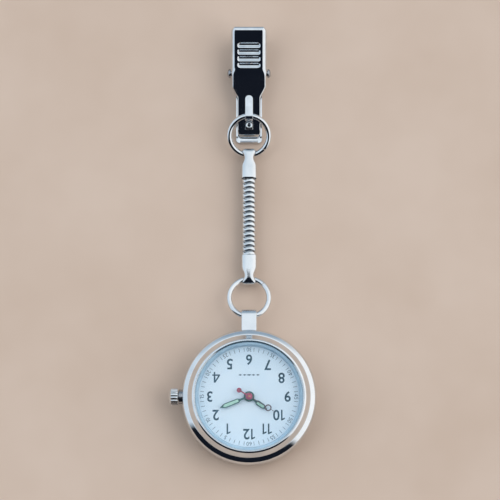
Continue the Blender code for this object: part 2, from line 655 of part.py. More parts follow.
def make_ferrule(name, eye_y, direction):
    """Crimped chain end: a cup for the last link, a waist and an eye for the ring."""
    bore, bore_depth = 1.64 * MM, 0.6 * MM
    mouth = FERRULE_LENGTH
    profile = [
        (0.0, mouth - bore_depth),
        (bore, mouth - bore_depth),
        (bore, mouth),
        (FERRULE_RADIUS, mouth),
        (FERRULE_RADIUS, 2.7 * MM),
        (1.0 * MM, 1.5 * MM),
        (0.0, 1.5 * MM),
    ]
    cup = as_mesh(turned(name, profile, "chrome", 24, aim="Y"))
    outline = arc((0, 0), (EYE_RADIUS, EYE_RADIUS), 40, 320, 15)
    outline += [(2.2 * MM, -0.8 * MM), (2.2 * MM, 0.8 * MM)]
    half = EYE_WIDTH / 2
    eye = as_mesh(flat(name + "_eye", [outline, circle(EYE_HOLE, 16)], (-half, half), "chrome", SIDE_ON))
    ferrule = join(cup, eye)
    for piece in (ferrule, eye):
        turn = Matrix.Rotation(0.0 if direction > 0 else math.pi, 4, "Z")
        piece.matrix_world = Matrix.Translation((0, eye_y, CHAIN_Z)) @ turn @ piece.matrix_world
    return ferrule


def make_link(name, start, pitch):
    """One waved cup of the snake chain. Its narrow end nests in the next link's wide end."""
    length = pitch + 0.19 * MM
    profile = [
        (LINK_RADIUS, 0.0),
        (LINK_RADIUS, 0.35 * MM),
        (1.05 * MM, length),
        (0.87 * MM, length),
        (1.3 * MM, 0.3 * MM),
        (1.3 * MM, 0.0),
    ]
    link = as_mesh(turned(name, profile, "chrome", LINK_SIDES))
    lobes = 4
    for vertex in link.data.vertices:
        around = math.atan2(vertex.co.y, vertex.co.x)
        vertex.co.z += LINK_WAVE * math.cos(lobes * around)
    link.matrix_world = Matrix.Translation((0, start, CHAIN_Z)) @ Matrix.Rotation(-math.pi / 2, 4, "X")
    return link


def make_chain():
    """Lower ring, ferrule, links, ferrule and upper ring, each hung on the piece before it."""
    _, reach = ring_tilt(CHAIN_Z, LUG_HOLE[1])
    low_eye = LUG_HOLE[0] + reach
    _, reach = ring_tilt(CHAIN_Z, HOOK_RING[1])
    high_eye = HOOK_RING[0] - reach
    mouth = low_eye + FERRULE_LENGTH
    pitch = (high_eye - FERRULE_LENGTH - mouth) / LINKS

    holder = pivot("lower_ring_axis", (0, *LUG_HOLE))
    carry(holder, make_ring("lower_ring", LUG_HOLE, (low_eye, CHAIN_Z), math.radians(45)))
    holder = pivot("lower_ferrule_axis", (0, low_eye, CHAIN_Z), holder)
    carry(holder, make_ferrule("lower_ferrule", low_eye, 1))
    for i in range(LINKS):
        # The first link's wide end stands inside the ferrule's mouth.
        start = mouth - 0.2 * MM + (pitch + 0.2 * MM / LINKS) * i
        holder = pivot(f"link_{i + 1:02d}_axis", (0, start + 0.1 * MM, CHAIN_Z), holder)
        carry(holder, make_link(f"chain_link_{i + 1:02d}", start, pitch + 0.2 * MM / LINKS))
    holder = pivot("upper_ferrule_axis", (0, mouth + pitch * LINKS, CHAIN_Z), holder)
    carry(holder, make_ferrule("upper_ferrule", high_eye, -1))
    holder = pivot("upper_ring_axis", (0, high_eye, CHAIN_Z), holder)
    carry(holder, make_ring("upper_ring", (high_eye, CHAIN_Z), HOOK_RING, math.radians(-42)))
    return pivot("clip_axis", (0, *HOOK_RING), holder)


# ------------------------------------------------------------------ clip


def lever_line(y):
    """Height of the lever's top face and its half width at y: hooked tip, flat jaw, raised thumb pad."""
    height = [(55.0, 0.9), (55.15, 1.75), (55.6, 2.45), (56.4, 2.88), (57.5, 3.05)]
    height += [(68.0, 4.62), (69.0, 4.86), (77.9, 7.55)]
    width = [(55.0, 1.5), (55.15, 1.9), (55.6, 2.25), (56.4, 2.4), (63.4, 2.42), (65.4, 3.5)]
    width += [(67.6, 3.5), (68.6, 3.7)]
    width += [(77.0, 3.7), (77.9, 3.0)]
    drop = [(55.0, 0.3), (56.4, 0.7), (63.0, 0.9), (66.6, 2.9), (70.4, 2.9), (72.0, 1.5), (77.9, 1.2)]
    return [interpolate(table, y / MM) * MM for table in (height, width, drop)]


def interpolate(table, at):
    for (x0, y0), (x1, y1) in zip(table, table[1:]):
        if at <= x1:
            return y0 + (y1 - y0) * max(0.0, at - x0) / (x1 - x0)
    return table[-1][1]


def make_lever():
    """Upper jaw and thumb lever, pressed from one sheet with its edges folded down."""
    stations = [55.0, 55.15, 55.6, 56.4, 57.5, 60.4, 63.4, 65.4]
    stations += [66.6, 67.6, 68.6, 70.4, 72.0, 74.5, 77.0, 77.9]
    bend = 0.45 * MM
    shape = bmesh.new()
    across = 9
    bmesh.ops.create_grid(shape, x_segments=across - 1, y_segments=len(stations) - 1, size=1.0)
    for vertex in shape.verts:
        row = round((vertex.co.y + 1) / 2 * (len(stations) - 1))
        column = round((vertex.co.x + 1) / 2 * (across - 1)) - across // 2
        y = stations[row] * MM
        z, half, drop = lever_line(y)
        side = math.copysign(1.0, column) if column else 0.0
        fold = {
            0: (0.0, 0.0),
            1: (half - bend, 0.0),
            2: (half - 0.3 * bend, 0.3 * bend),
            3: (half, bend),
            4: (half, drop),
        }
        x, down = fold[abs(column)]
        vertex.co = (side * x, y, z - down)
    bmesh.ops.recalc_face_normals(shape, faces=shape.faces)
    if sum(face.normal.z for face in shape.faces) < 0:
        bmesh.ops.reverse_faces(shape, faces=shape.faces)
    mesh = bpy.data.meshes.new("clip_lever")
    shape.to_mesh(mesh)
    shape.free()
    lever = add("clip_lever", mesh, "chrome")
    wall = lever.modifiers.new("sheet", "SOLIDIFY")
    wall.thickness = SHEET
    wall.offset = -1.0
    wall.use_even_offset = False
    lever = as_mesh(lever)
    ridges = []
    for i in range(4):
        y = (69.7 + 1.37 * i) * MM
        z = lever_line(y)[0]
        centre = (0, y, z - 0.08 * MM)
        ridges.append(cylinder(f"ridge_{i + 1}", 0.36 * MM, 4.7 * MM, centre, "chrome", "X", 10))
    join(lever, *ridges)
    holes = cylinder("lever_pin_hole", PIN_RADIUS + FIT, 12 * MM, (0, *PIN), "chrome", "X", 16)
    rivet_hole = cylinder("lever_rivet_hole", 0.3 * MM, 3 * MM, (0, RIVET_Y, 3 * MM), "chrome", "Z", 12)
    return cut(lever, holes, rivet_hole)


def make_base():
    """Lower jaw: a flat plate with two ears for the pin and an upturned lip."""
    right = [(2.0, 54.0), (2.75, 54.8), (2.75, 64.0), (3.0, 66.0), (3.0, 76.6), (2.2, 77.4)]
    plan = right + [(-x, y) for x, y in reversed(right)]
    plate = as_mesh(flat("clip_base", [[(x * MM, y * MM) for x, y in plan]], (0.0, 0.5 * MM), "chrome"))
    lip = box("base_lip", (-1.9 * MM, 54.0 * MM, 0.2 * MM), (1.9 * MM, 54.45 * MM, 1.1 * MM), "chrome")
    parts = [lip]
    for side in (-1, 1):
        low = [(55.1, 0.2), (55.4, 1.3), (65.0, 1.4)]
        ear = [(y / MM, z / MM) for y, z in arc(PIN, (1.25 * MM, 1.25 * MM), 170, 10, 7)]
        high = [(71.2, 1.3), (76.0, 0.9), (76.4, 0.2)]
        outline = [(y * MM, z * MM) for y, z in low + ear + high]
        x = (2.55 * MM, 2.98 * MM)
        span = x if side > 0 else (-x[1], -x[0])
        hole = circle(PIN_RADIUS + FIT, 16, PIN)
        parts.append(as_mesh(flat(f"base_ear_{side + 1}", [outline, hole], span, "chrome", SIDE_ON)))
    for side in (-1, 1):
        span = (2.3 * MM, 2.73 * MM) if side > 0 else (-2.73 * MM, -2.3 * MM)
        outline = [(55.0 * MM, 0.2 * MM), (55.3 * MM, 1.2 * MM)]
        outline += [(65.5 * MM, 1.2 * MM), (65.5 * MM, 0.2 * MM)]
        parts.append(as_mesh(flat(f"base_wall_{side + 1}", [outline], span, "chrome", SIDE_ON)))
    return join(plate, *parts)


def make_pin():
    half, head = 4.55 * MM, 0.5 * MM
    profile = [
        (0.0, -half),
        (0.7 * MM, -half),
        (0.95 * MM, -half + 0.2 * MM),
        (0.95 * MM, -half + head),
        (PIN_RADIUS, -half + head),
        (PIN_RADIUS, half - head),
        (0.95 * MM, half - head),
        (0.95 * MM, half - 0.2 * MM),
        (0.7 * MM, half),
        (0.0, half),
    ]
    return turned("hinge_pin", profile, "steel", 16, (0, *PIN), "X")


def make_spring():
    """Torsion spring round the pin, one leg under the thumb lever and one on the base."""
    coil, wire_radius, turns, per_turn = 1.1 * MM, 0.2 * MM, 3, 12
    first = math.radians(-35)
    span = 2 * math.pi * turns - math.radians(70) - 2 * first
    count = turns * per_turn
    y0, z0 = PIN
    helix = []
    for i in range(count + 1):
        angle = math.radians(-90) + span * i / count
        y, z = polar(coil, angle, (y0, z0))
        helix.append(((-0.9 + 1.8 * i / count) * MM, y, z))
    lower_leg = [(-0.9 * MM, 73.0 * MM, 0.95 * MM), (-0.9 * MM, 70.0 * MM, 1.0 * MM)]
    last = helix[-1]
    upper_leg = [(0.9 * MM, last[1] + 1.2 * MM, last[2] + 0.55 * MM), (0.9 * MM, 73.0 * MM, 5.3 * MM)]
    return wire("clip_spring", lower_leg + helix + upper_leg, wire_radius, "steel", 1)


def make_hook():
    """Strip riveted to the jaw's tip. It rises, passes over the ring and runs back along the jaw."""
    path = [(56.4, 3.14), (57.95, 3.38), (58.17, 3.6), (58.25, 4.55)]
    path += [(58.55, 4.95), (59.2, 5.08), (61.2, 5.16), (63.4, 5.05)]
    half = 0.2
    left, right = [], []
    for i, (y, z) in enumerate(path):
        before, after = path[max(0, i - 1)], path[min(len(path) - 1, i + 1)]
        dy, dz = after[0] - before[0], after[1] - before[1]
        length = math.hypot(dy, dz)
        normal = (-dz / length * half, dy / length * half)
        left.append(((y + normal[0]) * MM, (z + normal[1]) * MM))
        right.append(((y - normal[0]) * MM, (z - normal[1]) * MM))
    hook = as_mesh(flat("ring_hook", [left + right[::-1]], (-0.8 * MM, 0.8 * MM), "chrome", SIDE_ON))
    cut(hook, cylinder("hook_rivet_hole", 0.3 * MM, 3 * MM, (0, RIVET_Y, 3 * MM), "chrome", "Z", 12))
    head = [(0.0, 0.2), (0.45, 0.15), (0.6, 0.0), (0.6, -0.06), (0.25, -0.06), (0.25, -1.1), (0.0, -1.1)]
    rivet = turned("hook_rivet", [(r * MM, z * MM) for r, z in head], "chrome", 16, (0, RIVET_Y, 3.66 * MM))
    return hook, rivet


def make_clip(holder):
    lever = make_lever()
    hook, rivet = make_hook()
    carry(holder, lever, hook, rivet)
    base_axis = pivot("clip_hinge_axis", (0, *PIN), holder)
    carry(base_axis, make_base(), make_pin(), make_spring())


def main():
    make_case_body()
    make_case_shells()
    make_dial()
    make_crown()
    make_setting_lever()
    make_movement()
    make_hands(*make_train())
    make_clip(make_chain())


clear_scene()
WATCH = make_collection("fob_watch")
CUTTERS = make_collection("cutters")
MATERIALS = make_materials()
main()
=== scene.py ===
"""Looks of a clip-on fob watch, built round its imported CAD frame.

Each sub-assembly is a class that models its pieces with Blender's operators, dresses them in their
finishes and hangs them on the CAD bodies. Sizes are in millimetres inside the classes and are
turned to metres where a mesh is made. The frame is the CAD's: +Z out of the dial, +Y towards the
clip, the crown at -X and twelve o'clock at -Y.
"""

import json
import logging
import math
from collections.abc import Callable, Sequence
from dataclasses import dataclass, field
from enum import Enum

import bpy
from mathutils import Matrix, Vector

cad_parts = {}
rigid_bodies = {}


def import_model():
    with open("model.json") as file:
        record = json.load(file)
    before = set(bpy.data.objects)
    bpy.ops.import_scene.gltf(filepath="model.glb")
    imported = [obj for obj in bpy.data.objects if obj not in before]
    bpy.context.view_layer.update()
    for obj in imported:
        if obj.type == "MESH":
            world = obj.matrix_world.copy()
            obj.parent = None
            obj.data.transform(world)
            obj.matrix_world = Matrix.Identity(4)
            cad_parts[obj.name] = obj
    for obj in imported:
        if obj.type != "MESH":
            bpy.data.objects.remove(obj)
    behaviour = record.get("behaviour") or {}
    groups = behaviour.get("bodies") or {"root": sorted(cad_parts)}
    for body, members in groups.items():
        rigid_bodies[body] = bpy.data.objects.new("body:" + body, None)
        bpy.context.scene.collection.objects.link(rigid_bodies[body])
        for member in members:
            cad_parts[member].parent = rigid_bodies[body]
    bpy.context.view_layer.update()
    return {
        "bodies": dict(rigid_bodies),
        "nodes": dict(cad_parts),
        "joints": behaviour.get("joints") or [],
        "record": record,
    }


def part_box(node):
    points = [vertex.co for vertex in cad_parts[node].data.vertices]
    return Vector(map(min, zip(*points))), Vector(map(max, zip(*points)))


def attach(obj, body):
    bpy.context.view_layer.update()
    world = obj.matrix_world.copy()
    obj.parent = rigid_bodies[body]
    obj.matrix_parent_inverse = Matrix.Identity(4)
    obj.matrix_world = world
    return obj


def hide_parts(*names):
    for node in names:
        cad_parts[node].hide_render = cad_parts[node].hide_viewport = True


log = logging.getLogger("fob_watch")

MM = 0.001
FULL_TURN = 2 * math.pi
# Points closer than this, in metres, are one point.
WELD = 1e-6
# Thickness of the printing on the dial, in millimetres.
PRINT_LIFT = 0.012
# The share of the patch noise over which a surface goes from clean to stained, and to dull.
STAIN_SPREAD = (0.35, 0.7)
GLOSS_SPREAD = (0.3, 0.75)
COAT_ROUGHNESS = 0.04
# How opaque the crystal's pale blue becomes where it is looked at edge on: a painted reflection on its rim.
RIM_REFLECTION_ALPHA = 0.6

Point2 = tuple[float, float]
Point3 = tuple[float, float, float]


class Axis(Enum):
    """The direction that a turned piece's own axis is laid along."""

    X = Matrix.Rotation(math.pi / 2, 4, "Y")
    MINUS_X = Matrix.Rotation(-math.pi / 2, 4, "Y")
    Y = Matrix.Rotation(-math.pi / 2, 4, "X")
    MINUS_Y = Matrix.Rotation(math.pi / 2, 4, "X")
    Z = Matrix.Identity(4)


# ------------------------------------------------------------------ materials


def linear(code: str) -> tuple[float, float, float, float]:
    """Turns an sRGB hex colour to linear light.

    Args:
        code: Six hex digits.

    Returns:
        Red, green, blue and an alpha of one.
    """
    parts = [int(code[i : i + 2], 16) / 255 for i in (0, 2, 4)]
    red, green, blue = (p / 12.92 if p <= 0.04045 else ((p + 0.055) / 1.055) ** 2.4 for p in parts)
    return red, green, blue, 1.0


def add_node(
    tree: bpy.types.NodeTree, kind: str, inputs: dict | None = None, **settings: object
) -> bpy.types.Node:
    """Adds a node, sets its properties and fills or links its inputs.

    Args:
        tree: The node tree it goes in.
        kind: Blender's name for the node.
        inputs: Values, or output sockets to link, by input name or number.
        **settings: Properties of the node. For a ramp, stops is a list of (position, colour).

    Returns:
        The new node.
    """
    node = tree.nodes.new(kind)
    stops = settings.pop("stops", None)
    for name, value in settings.items():
        setattr(node, name, value)
    for key, value in (inputs or {}).items():
        if isinstance(value, bpy.types.NodeSocket):
            tree.links.new(value, node.inputs[key])
        else:
            node.inputs[key].default_value = value
    if stops:
        elements = node.color_ramp.elements
        while len(elements) < len(stops):
            elements.new(0.5)
        for element, (position, colour) in zip(elements, stops):
            element.position = position
            element.color = colour
    return node


def mapped(
    tree: bpy.types.NodeTree, value: bpy.types.NodeSocket, source: Point2, target: Point2 = (0.0, 1.0)
) -> bpy.types.NodeSocket:
    """Stretches the values between the two ends of source over target.

    Args:
        tree: The node tree it goes in.
        value: The socket to read.
        source: The values that become the ends of target.
        target: The two ends it gives.

    Returns:
        The stretched value's socket.
    """
    ends = {"From Min": source[0], "From Max": source[1], "To Min": target[0], "To Max": target[1]}
    return add_node(tree, "ShaderNodeMapRange", {"Value": value, **ends}).outputs["Result"]


@dataclass(frozen=True)
class Finish:
    """A surface: what it is made of and what its making leaves for the eye.

    Attributes:
        title: The material's name.
        colour: sRGB hex of the clean surface.
        stain: sRGB hex of its handled or shaded patches.
        metallic: One for bare metal.
        gloss: Roughness of the cleanest and of the dullest patches.
        patch_mm: Size of the patches.
        grain_mm: Spacing of the fine marks along X, Y and Z.
        relief_mm: Height of the fine marks.
        coat: Weight of a clear lacquer over it.
        ior: Index of refraction of a non-metal.
        alpha: How much of it is seen, for glass.
    """

    title: str
    colour: str
    stain: str
    metallic: float = 0.0
    gloss: Point2 = (0.3, 0.4)
    patch_mm: float = 4.0
    grain_mm: Point3 = (0.2, 0.2, 0.2)
    relief_mm: float = 0.002
    coat: float = 0.0
    ior: float = 1.5
    alpha: float = 1.0

    def material(self) -> bpy.types.Material:
        """Returns the finish's material, made at its first use."""
        made = bpy.data.materials.get(self.title)
        return made if made else self.build()

    def build(self) -> bpy.types.Material:
        """Makes the node tree.

        Returns:
            The new material.
        """
        material = bpy.data.materials.new(self.title)
        material.use_nodes = True
        tree = material.node_tree
        shader = tree.nodes["Principled BSDF"]
        shader.inputs["Metallic"].default_value = self.metallic
        shader.inputs["Coat Weight"].default_value = self.coat
        shader.inputs["Coat Roughness"].default_value = COAT_ROUGHNESS
        if not self.metallic:
            shader.inputs["IOR"].default_value = self.ior
        place = add_node(tree, "ShaderNodeTexCoord").outputs["Object"]
        size = {"Vector": place, "Scale": 1 / (self.patch_mm * MM), "Detail": 3.0, "Roughness": 0.6}
        patches = add_node(tree, "ShaderNodeTexNoise", size).outputs["Fac"]
        tint = self.mixed(tree, mapped(tree, patches, STAIN_SPREAD))
        tree.links.new(tint, shader.inputs["Base Color"])
        tree.links.new(mapped(tree, patches, GLOSS_SPREAD, self.gloss), shader.inputs["Roughness"])
        self.engrave(tree, shader, place)
        if self.alpha < 1:
            # The glass's pale colour grows opaque towards grazing angles: a painted reflection round the
            # crystal's rim.
            slant = add_node(tree, "ShaderNodeLayerWeight", {"Blend": 0.25}).outputs["Facing"]
            seen = mapped(tree, slant, (0.0, 1.0), (self.alpha, RIM_REFLECTION_ALPHA))
            tree.links.new(seen, shader.inputs["Alpha"])
        return material

    def mixed(self, tree: bpy.types.NodeTree, factor: bpy.types.NodeSocket) -> bpy.types.NodeSocket:
        """Blends the clean and the stained colour.

        Args:
            tree: The material's node tree.
            factor: Share of stain at each point.

        Returns:
            The colour's socket.
        """
        stops = [(0.0, linear(self.colour)), (1.0, linear(self.stain))]
        return add_node(tree, "ShaderNodeValToRGB", {"Fac": factor}, stops=stops).outputs["Color"]

    def engrave(self, tree: bpy.types.NodeTree, shader: bpy.types.Node, place: bpy.types.NodeSocket) -> None:
        """Adds the fine marks as bump.

        Args:
            tree: The material's node tree.
            shader: The Principled shader.
            place: The point in object space.
        """
        spacing = tuple(1 / (mm * MM) for mm in self.grain_mm)
        mapping = add_node(tree, "ShaderNodeMapping", {"Vector": place, "Scale": spacing})
        point = {"Vector": mapping.outputs["Vector"], "Scale": 1.0, "Detail": 2.0}
        marks = add_node(tree, "ShaderNodeTexNoise", point)
        height = {"Height": marks.outputs["Fac"], "Strength": 1.0, "Distance": self.relief_mm * MM}
        bump = add_node(tree, "ShaderNodeBump", height)
        tree.links.new(bump.outputs["Normal"], shader.inputs["Normal"])


# Nickel-chrome plate over brass, buffed: a clear mirror with faint smears and hairline scratches.
CHROME = Finish(
    "polished_chrome_plate", "E8ECEF", "D9DFE4", 1.0, (0.045, 0.11), 5.0, (0.9, 0.05, 0.4), 0.0004
)
# The same plate on the small bent parts, thinner and a little greyer in the folds.
CLIP_CHROME = Finish(
    "clip_chrome_plate", "E4E9ED", "D2D8DE", 1.0, (0.03, 0.07), 3.0, (0.05, 0.9, 0.3), 0.0004
)
# Stainless steel brushed along one way: streaks that widen the highlight.
BRUSHED_STEEL = Finish(
    "brushed_stainless_steel", "C2C4C6", "A8ABAE", 1.0, (0.22, 0.34), 4.0, (3.0, 0.06, 0.5), 0.0015
)
# Bright steel wire and pins, drawn and tumbled.
STEEL = Finish("drawn_steel", "B4B6BA", "8F9399", 1.0, (0.18, 0.3), 2.0, (0.1, 0.1, 0.6), 0.001)
# Gilt brass of the plates and wheels, stamped: a warm satin.
GILT_BRASS = Finish("gilt_brass", "D9B46A", "B98F45", 1.0, (0.22, 0.36), 2.5, (0.08, 0.08, 0.08), 0.0015)
# Dial enamel over brass, sprayed and polished: cool white with the faintest orange peel.
DIAL_ENAMEL = Finish(
    "dial_enamel", "E4F1F9", "DCECF6", 0.0, (0.28, 0.36), 6.0, (0.12, 0.12, 0.12), 0.0006, 0.35
)
# Moulded white ring under the crystal, coloured grey-blue and darker than the dial: painted shade and
# reflection of the band round the dial's edge.
RING_PLASTIC_WITH_PAINTED_SHADE = Finish(
    "pale_styrene_with_painted_shade", "B9D4E4", "A8C6D9", 0.0, (0.3, 0.42), 3.0, (0.15, 0.15, 0.15), 0.001
)
# Pad-printed slate ink of the hours: dead matt, slightly thin in places.
SLATE_INK = Finish("slate_dial_ink", "20404E", "3C5C6C", 0.0, (0.5, 0.65), 1.2, (0.05, 0.05, 0.05), 0.0006)
# The paler ink of the minute track and ornament, thinner still, so the white shows through.
GREY_INK = Finish("grey_dial_ink", "455C6A", "5F7684", 0.0, (0.5, 0.65), 1.0, (0.05, 0.05, 0.05), 0.0006)
# Luminous paste laid in the hands: pale green and granular.
LUME = Finish("luminous_paste", "BFE3D0", "A4D0BC", 0.0, (0.55, 0.75), 0.8, (0.06, 0.06, 0.06), 0.004)
# Dark green lacquer round the paste.
GREEN_LACQUER = Finish(
    "green_hand_lacquer", "2C5350", "3D6B66", 0.0, (0.2, 0.3), 1.0, (0.1, 0.1, 0.1), 0.0005, 0.5
)
# Rose-red lacquer of the second hand.
RED_LACQUER = Finish(
    "red_hand_lacquer", "B4506A", "8E3B50", 0.0, (0.18, 0.28), 1.0, (0.1, 0.1, 0.1), 0.0005, 0.6
)
# The bronzed needle and eye ring of the second hand.
BRONZED = Finish("bronzed_needle", "5C4A4E", "463A40", 0.0, (0.25, 0.35), 1.0, (0.1, 0.1, 0.1), 0.0005, 0.4)
# Mineral glass: almost clear; its faint blue, made opaque where the glass is seen edge on, is a painted
# reflection on its rim.
MINERAL_GLASS = Finish(
    "clear_mineral_crystal", "A9CFE6", "9FC8E2", 0.0, (0.01, 0.03), 8.0, (3.0, 3.0, 3.0), 0.0001,
    ior=1.52, alpha=0.03,
)
# Moulded nylon of the holder and the crystal's ring: off-white, waxy and a little uneven.
NYLON = Finish("moulded_nylon", "D9DCDA", "C8CCC8", 0.0, (0.45, 0.6), 2.0, (0.1, 0.1, 0.1), 0.002)
# Nitrile rubber of the seals: near black, matt and slightly pebbled.
SEAL_RUBBER = Finish("nitrile_rubber", "1C1D1E", "2A2B2C", 0.0, (0.6, 0.75), 1.0, (0.08, 0.08, 0.08), 0.003)
# Enamelled copper wire, wound close: warm ridges under a thin gloss.
COPPER_WIRE = Finish(
    "enamelled_copper_wire", "B5673F", "8F4A2A", 1.0, (0.25, 0.35), 1.0, (5.0, 0.08, 5.0), 0.01, 0.6
)
# Solder mask over the circuit board: dark green with a soft shine.
BOARD = Finish("solder_mask", "1F5B38", "184A2D", 0.0, (0.3, 0.45), 1.5, (0.15, 0.15, 0.15), 0.001, 0.3)
# Matt card under the watch, warm and pale, with a fine paper tooth.
PALE_CARD = Finish("pale_card", "CBB6A6", "C4AE9D", 0.0, (0.65, 0.8), 30.0, (0.3, 0.3, 0.3), 0.004)


# ------------------------------------------------------------------ modelling


def arc(centre: Point2, radii: Point2, start: float, end: float, count: int) -> list[Point2]:
    """Points on an elliptical arc.

    Args:
        centre: Its middle.
        radii: Its two half axes.
        start: First angle in degrees.
        end: Last angle in degrees.
        count: How many points.

    Returns:
        The points in order.
    """
    angles = [math.radians(start + (end - start) * i / (count - 1)) for i in range(count)]
    return [(centre[0] + radii[0] * math.cos(a), centre[1] + radii[1] * math.sin(a)) for a in angles]


def polar(radius: float, angle: float, centre: Point2 = (0.0, 0.0)) -> Point2:
    """The point at a distance and an angle in radians from centre."""
    return centre[0] + radius * math.cos(angle), centre[1] + radius * math.sin(angle)


def follow(table: Sequence[Point2], at: float) -> float:
    """Reads a table of (place, value) with straight lines between its rows.

    Args:
        table: The rows, in order of place.
        at: The place to read.

    Returns:
        The value there, held at both ends.
    """
    for (x0, y0), (x1, y1) in zip(table, table[1:]):
        if at <= x1:
            return y0 + (y1 - y0) * max(0.0, at - x0) / (x1 - x0)
    return table[-1][1]


def ease(low: float, high: float, at: float) -> float:
    """Rises smoothly from zero at low to one at high."""
    t = min(1.0, max(0.0, (at - low) / (high - low)))
    return t * t * (3 - 2 * t)


def squared(share: float, power: float) -> float:
    """Pushes a cosine or sine outwards, which turns a circle into a rounded square."""
    return math.copysign(abs(share) ** power, share)


def edit() -> None:
    """Opens the active mesh for editing, with everything selected."""
    bpy.ops.object.mode_set(mode="EDIT")
    bpy.ops.mesh.select_mode(type="VERT")
    bpy.ops.mesh.select_all(action="SELECT")


def close() -> None:
    """Leaves edit mode."""
    bpy.ops.object.mode_set(mode="OBJECT")


def close_outwards() -> None:
    """Turns every face outwards and leaves edit mode."""
    bpy.ops.mesh.select_all(action="SELECT")
    bpy.ops.mesh.normals_make_consistent(inside=False)
    close()


def select_none() -> None:
    """Clears the selection, so that an operator acts on the new piece alone."""
    bpy.ops.object.select_all(action="DESELECT")


def only(obj: bpy.types.Object) -> None:
    """Selects one object and makes it active."""
    select_none()
    obj.select_set(True)
    bpy.context.view_layer.objects.active = obj


def loop(name: str, points: Sequence[Point3]) -> bpy.types.Object:
    """Adds a circle and draws its corners out to a closed line.

    Args:
        name: The new object's name.
        points: The line's corners, in millimetres.

    Returns:
        The object, which has edges only.
    """
    select_none()
    bpy.ops.mesh.primitive_circle_add(vertices=len(points), radius=MM, fill_type="NOTHING")
    obj = bpy.context.object
    obj.name = obj.data.name = name
    for vertex, point in zip(obj.data.vertices, points):
        vertex.co = Vector(point) * MM
    return obj


def lay(obj: bpy.types.Object, matrix: Matrix, centre: Point3 = (0.0, 0.0, 0.0)) -> bpy.types.Object:
    """Turns a mesh by matrix and moves it to centre, in millimetres, with its object at the origin."""
    obj.data.transform(Matrix.Translation(Vector(centre) * MM) @ matrix)
    obj.data.update()
    return obj


def turned(
    name: str,
    profile: Sequence[Point2],
    steps: int = 128,
    axis: Axis = Axis.Z,
    centre: Point3 = (0.0, 0.0, 0.0),
) -> bpy.types.Object:
    """Spins a section into a round piece.

    Args:
        name: The new object's name.
        profile: The section as (radius, height), in millimetres. One that starts on the axis is solid.
        steps: Number of sides.
        axis: Where the piece's axis points.
        centre: Where its zero height lies.

    Returns:
        The closed piece.
    """
    obj = loop(name, [(r, 0.0, z) for r, z in profile])
    edit()
    bpy.ops.mesh.spin(steps=steps, angle=FULL_TURN, center=(0, 0, 0), axis=(0, 0, 1))
    bpy.ops.mesh.select_all(action="SELECT")
    bpy.ops.mesh.remove_doubles(threshold=WELD)
    bpy.ops.mesh.delete_loose(use_verts=True, use_edges=True, use_faces=False)
    close_outwards()
    return lay(obj, axis.value, centre)


def pressed(
    name: str, outline: Sequence[Point2], low: float, high: float, soften: float = 0.0, side_on: bool = False
) -> bpy.types.Object:
    """Cuts a flat piece to an outline and softens its edges.

    Args:
        name: The new object's name.
        outline: Its corners, in millimetres.
        low: One face's place along the thickness.
        high: The other face's.
        soften: Width of the rounding on its edges.
        side_on: True if the outline is (y, z) and the thickness runs along X.

    Returns:
        The closed piece.
    """
    obj = loop(name, [(x, y, low) for x, y in outline])
    edit()
    bpy.ops.mesh.edge_face_add()
    bpy.ops.mesh.extrude_region_move(TRANSFORM_OT_translate={"value": (0, 0, (high - low) * MM)})
    close_outwards()
    if soften:
        round_edges(obj, soften)
    return lay(obj, Matrix(((0, 0, 1, 0), (1, 0, 0, 0), (0, 1, 0, 0), (0, 0, 0, 1)))) if side_on else obj


def apply(obj: bpy.types.Object, kind: str, **settings: object) -> bpy.types.Object:
    """Adds a modifier, sets it and applies it.

    Args:
        obj: The piece.
        kind: Blender's name for the modifier.
        **settings: Its properties.

    Returns:
        The same piece.
    """
    only(obj)
    modifier = obj.modifiers.new(kind.lower(), kind)
    for name, value in settings.items():
        setattr(modifier, name, value)
    bpy.ops.object.modifier_apply(modifier=modifier.name)
    return obj


def round_edges(
    obj: bpy.types.Object, width: float, segments: int = 3, angle: float = 40.0
) -> bpy.types.Object:
    """Rounds a piece's sharp edges to a width in millimetres."""
    settings = {"limit_method": "ANGLE", "angle_limit": math.radians(angle)}
    return apply(obj, "BEVEL", width=width * MM, segments=segments, **settings)


def shaped(base: bpy.types.Object, other: bpy.types.Object, operation: str) -> bpy.types.Object:
    """Adds another piece to base, or cuts it away, and removes it.

    Args:
        base: The piece that stays.
        other: The piece that is used up.
        operation: UNION or DIFFERENCE.

    Returns:
        The base.
    """
    apply(base, "BOOLEAN", operation=operation, object=other, solver="EXACT")
    bpy.data.objects.remove(other)
    return base


def rod(name: str, radius: float, length: float, centre: Point3, axis: Axis = Axis.Z) -> bpy.types.Object:
    """Turns a plain rod, used to bore holes. Its centre is in millimetres."""
    half = length / 2
    profile = [(0.0, -half), (radius, -half), (radius, half), (0.0, half)]
    return turned(name, profile, 48, axis, centre)


def gathered(name: str, objs: Sequence[bpy.types.Object]) -> bpy.types.Object:
    """Joins pieces that are printed or stamped together into one object."""
    select_none()
    for obj in objs:
        obj.select_set(True)
    bpy.context.view_layer.objects.active = objs[0]
    bpy.ops.object.join()
    objs[0].name = objs[0].data.name = name
    return objs[0]


def copied(obj: bpy.types.Object, matrix: Matrix, centre: Point3) -> bpy.types.Object:
    """Copies a piece with its own mesh, turned by matrix and moved to centre."""
    made = obj.copy()
    made.data = obj.data.copy()
    bpy.context.scene.collection.objects.link(made)
    return lay(made, matrix, centre)


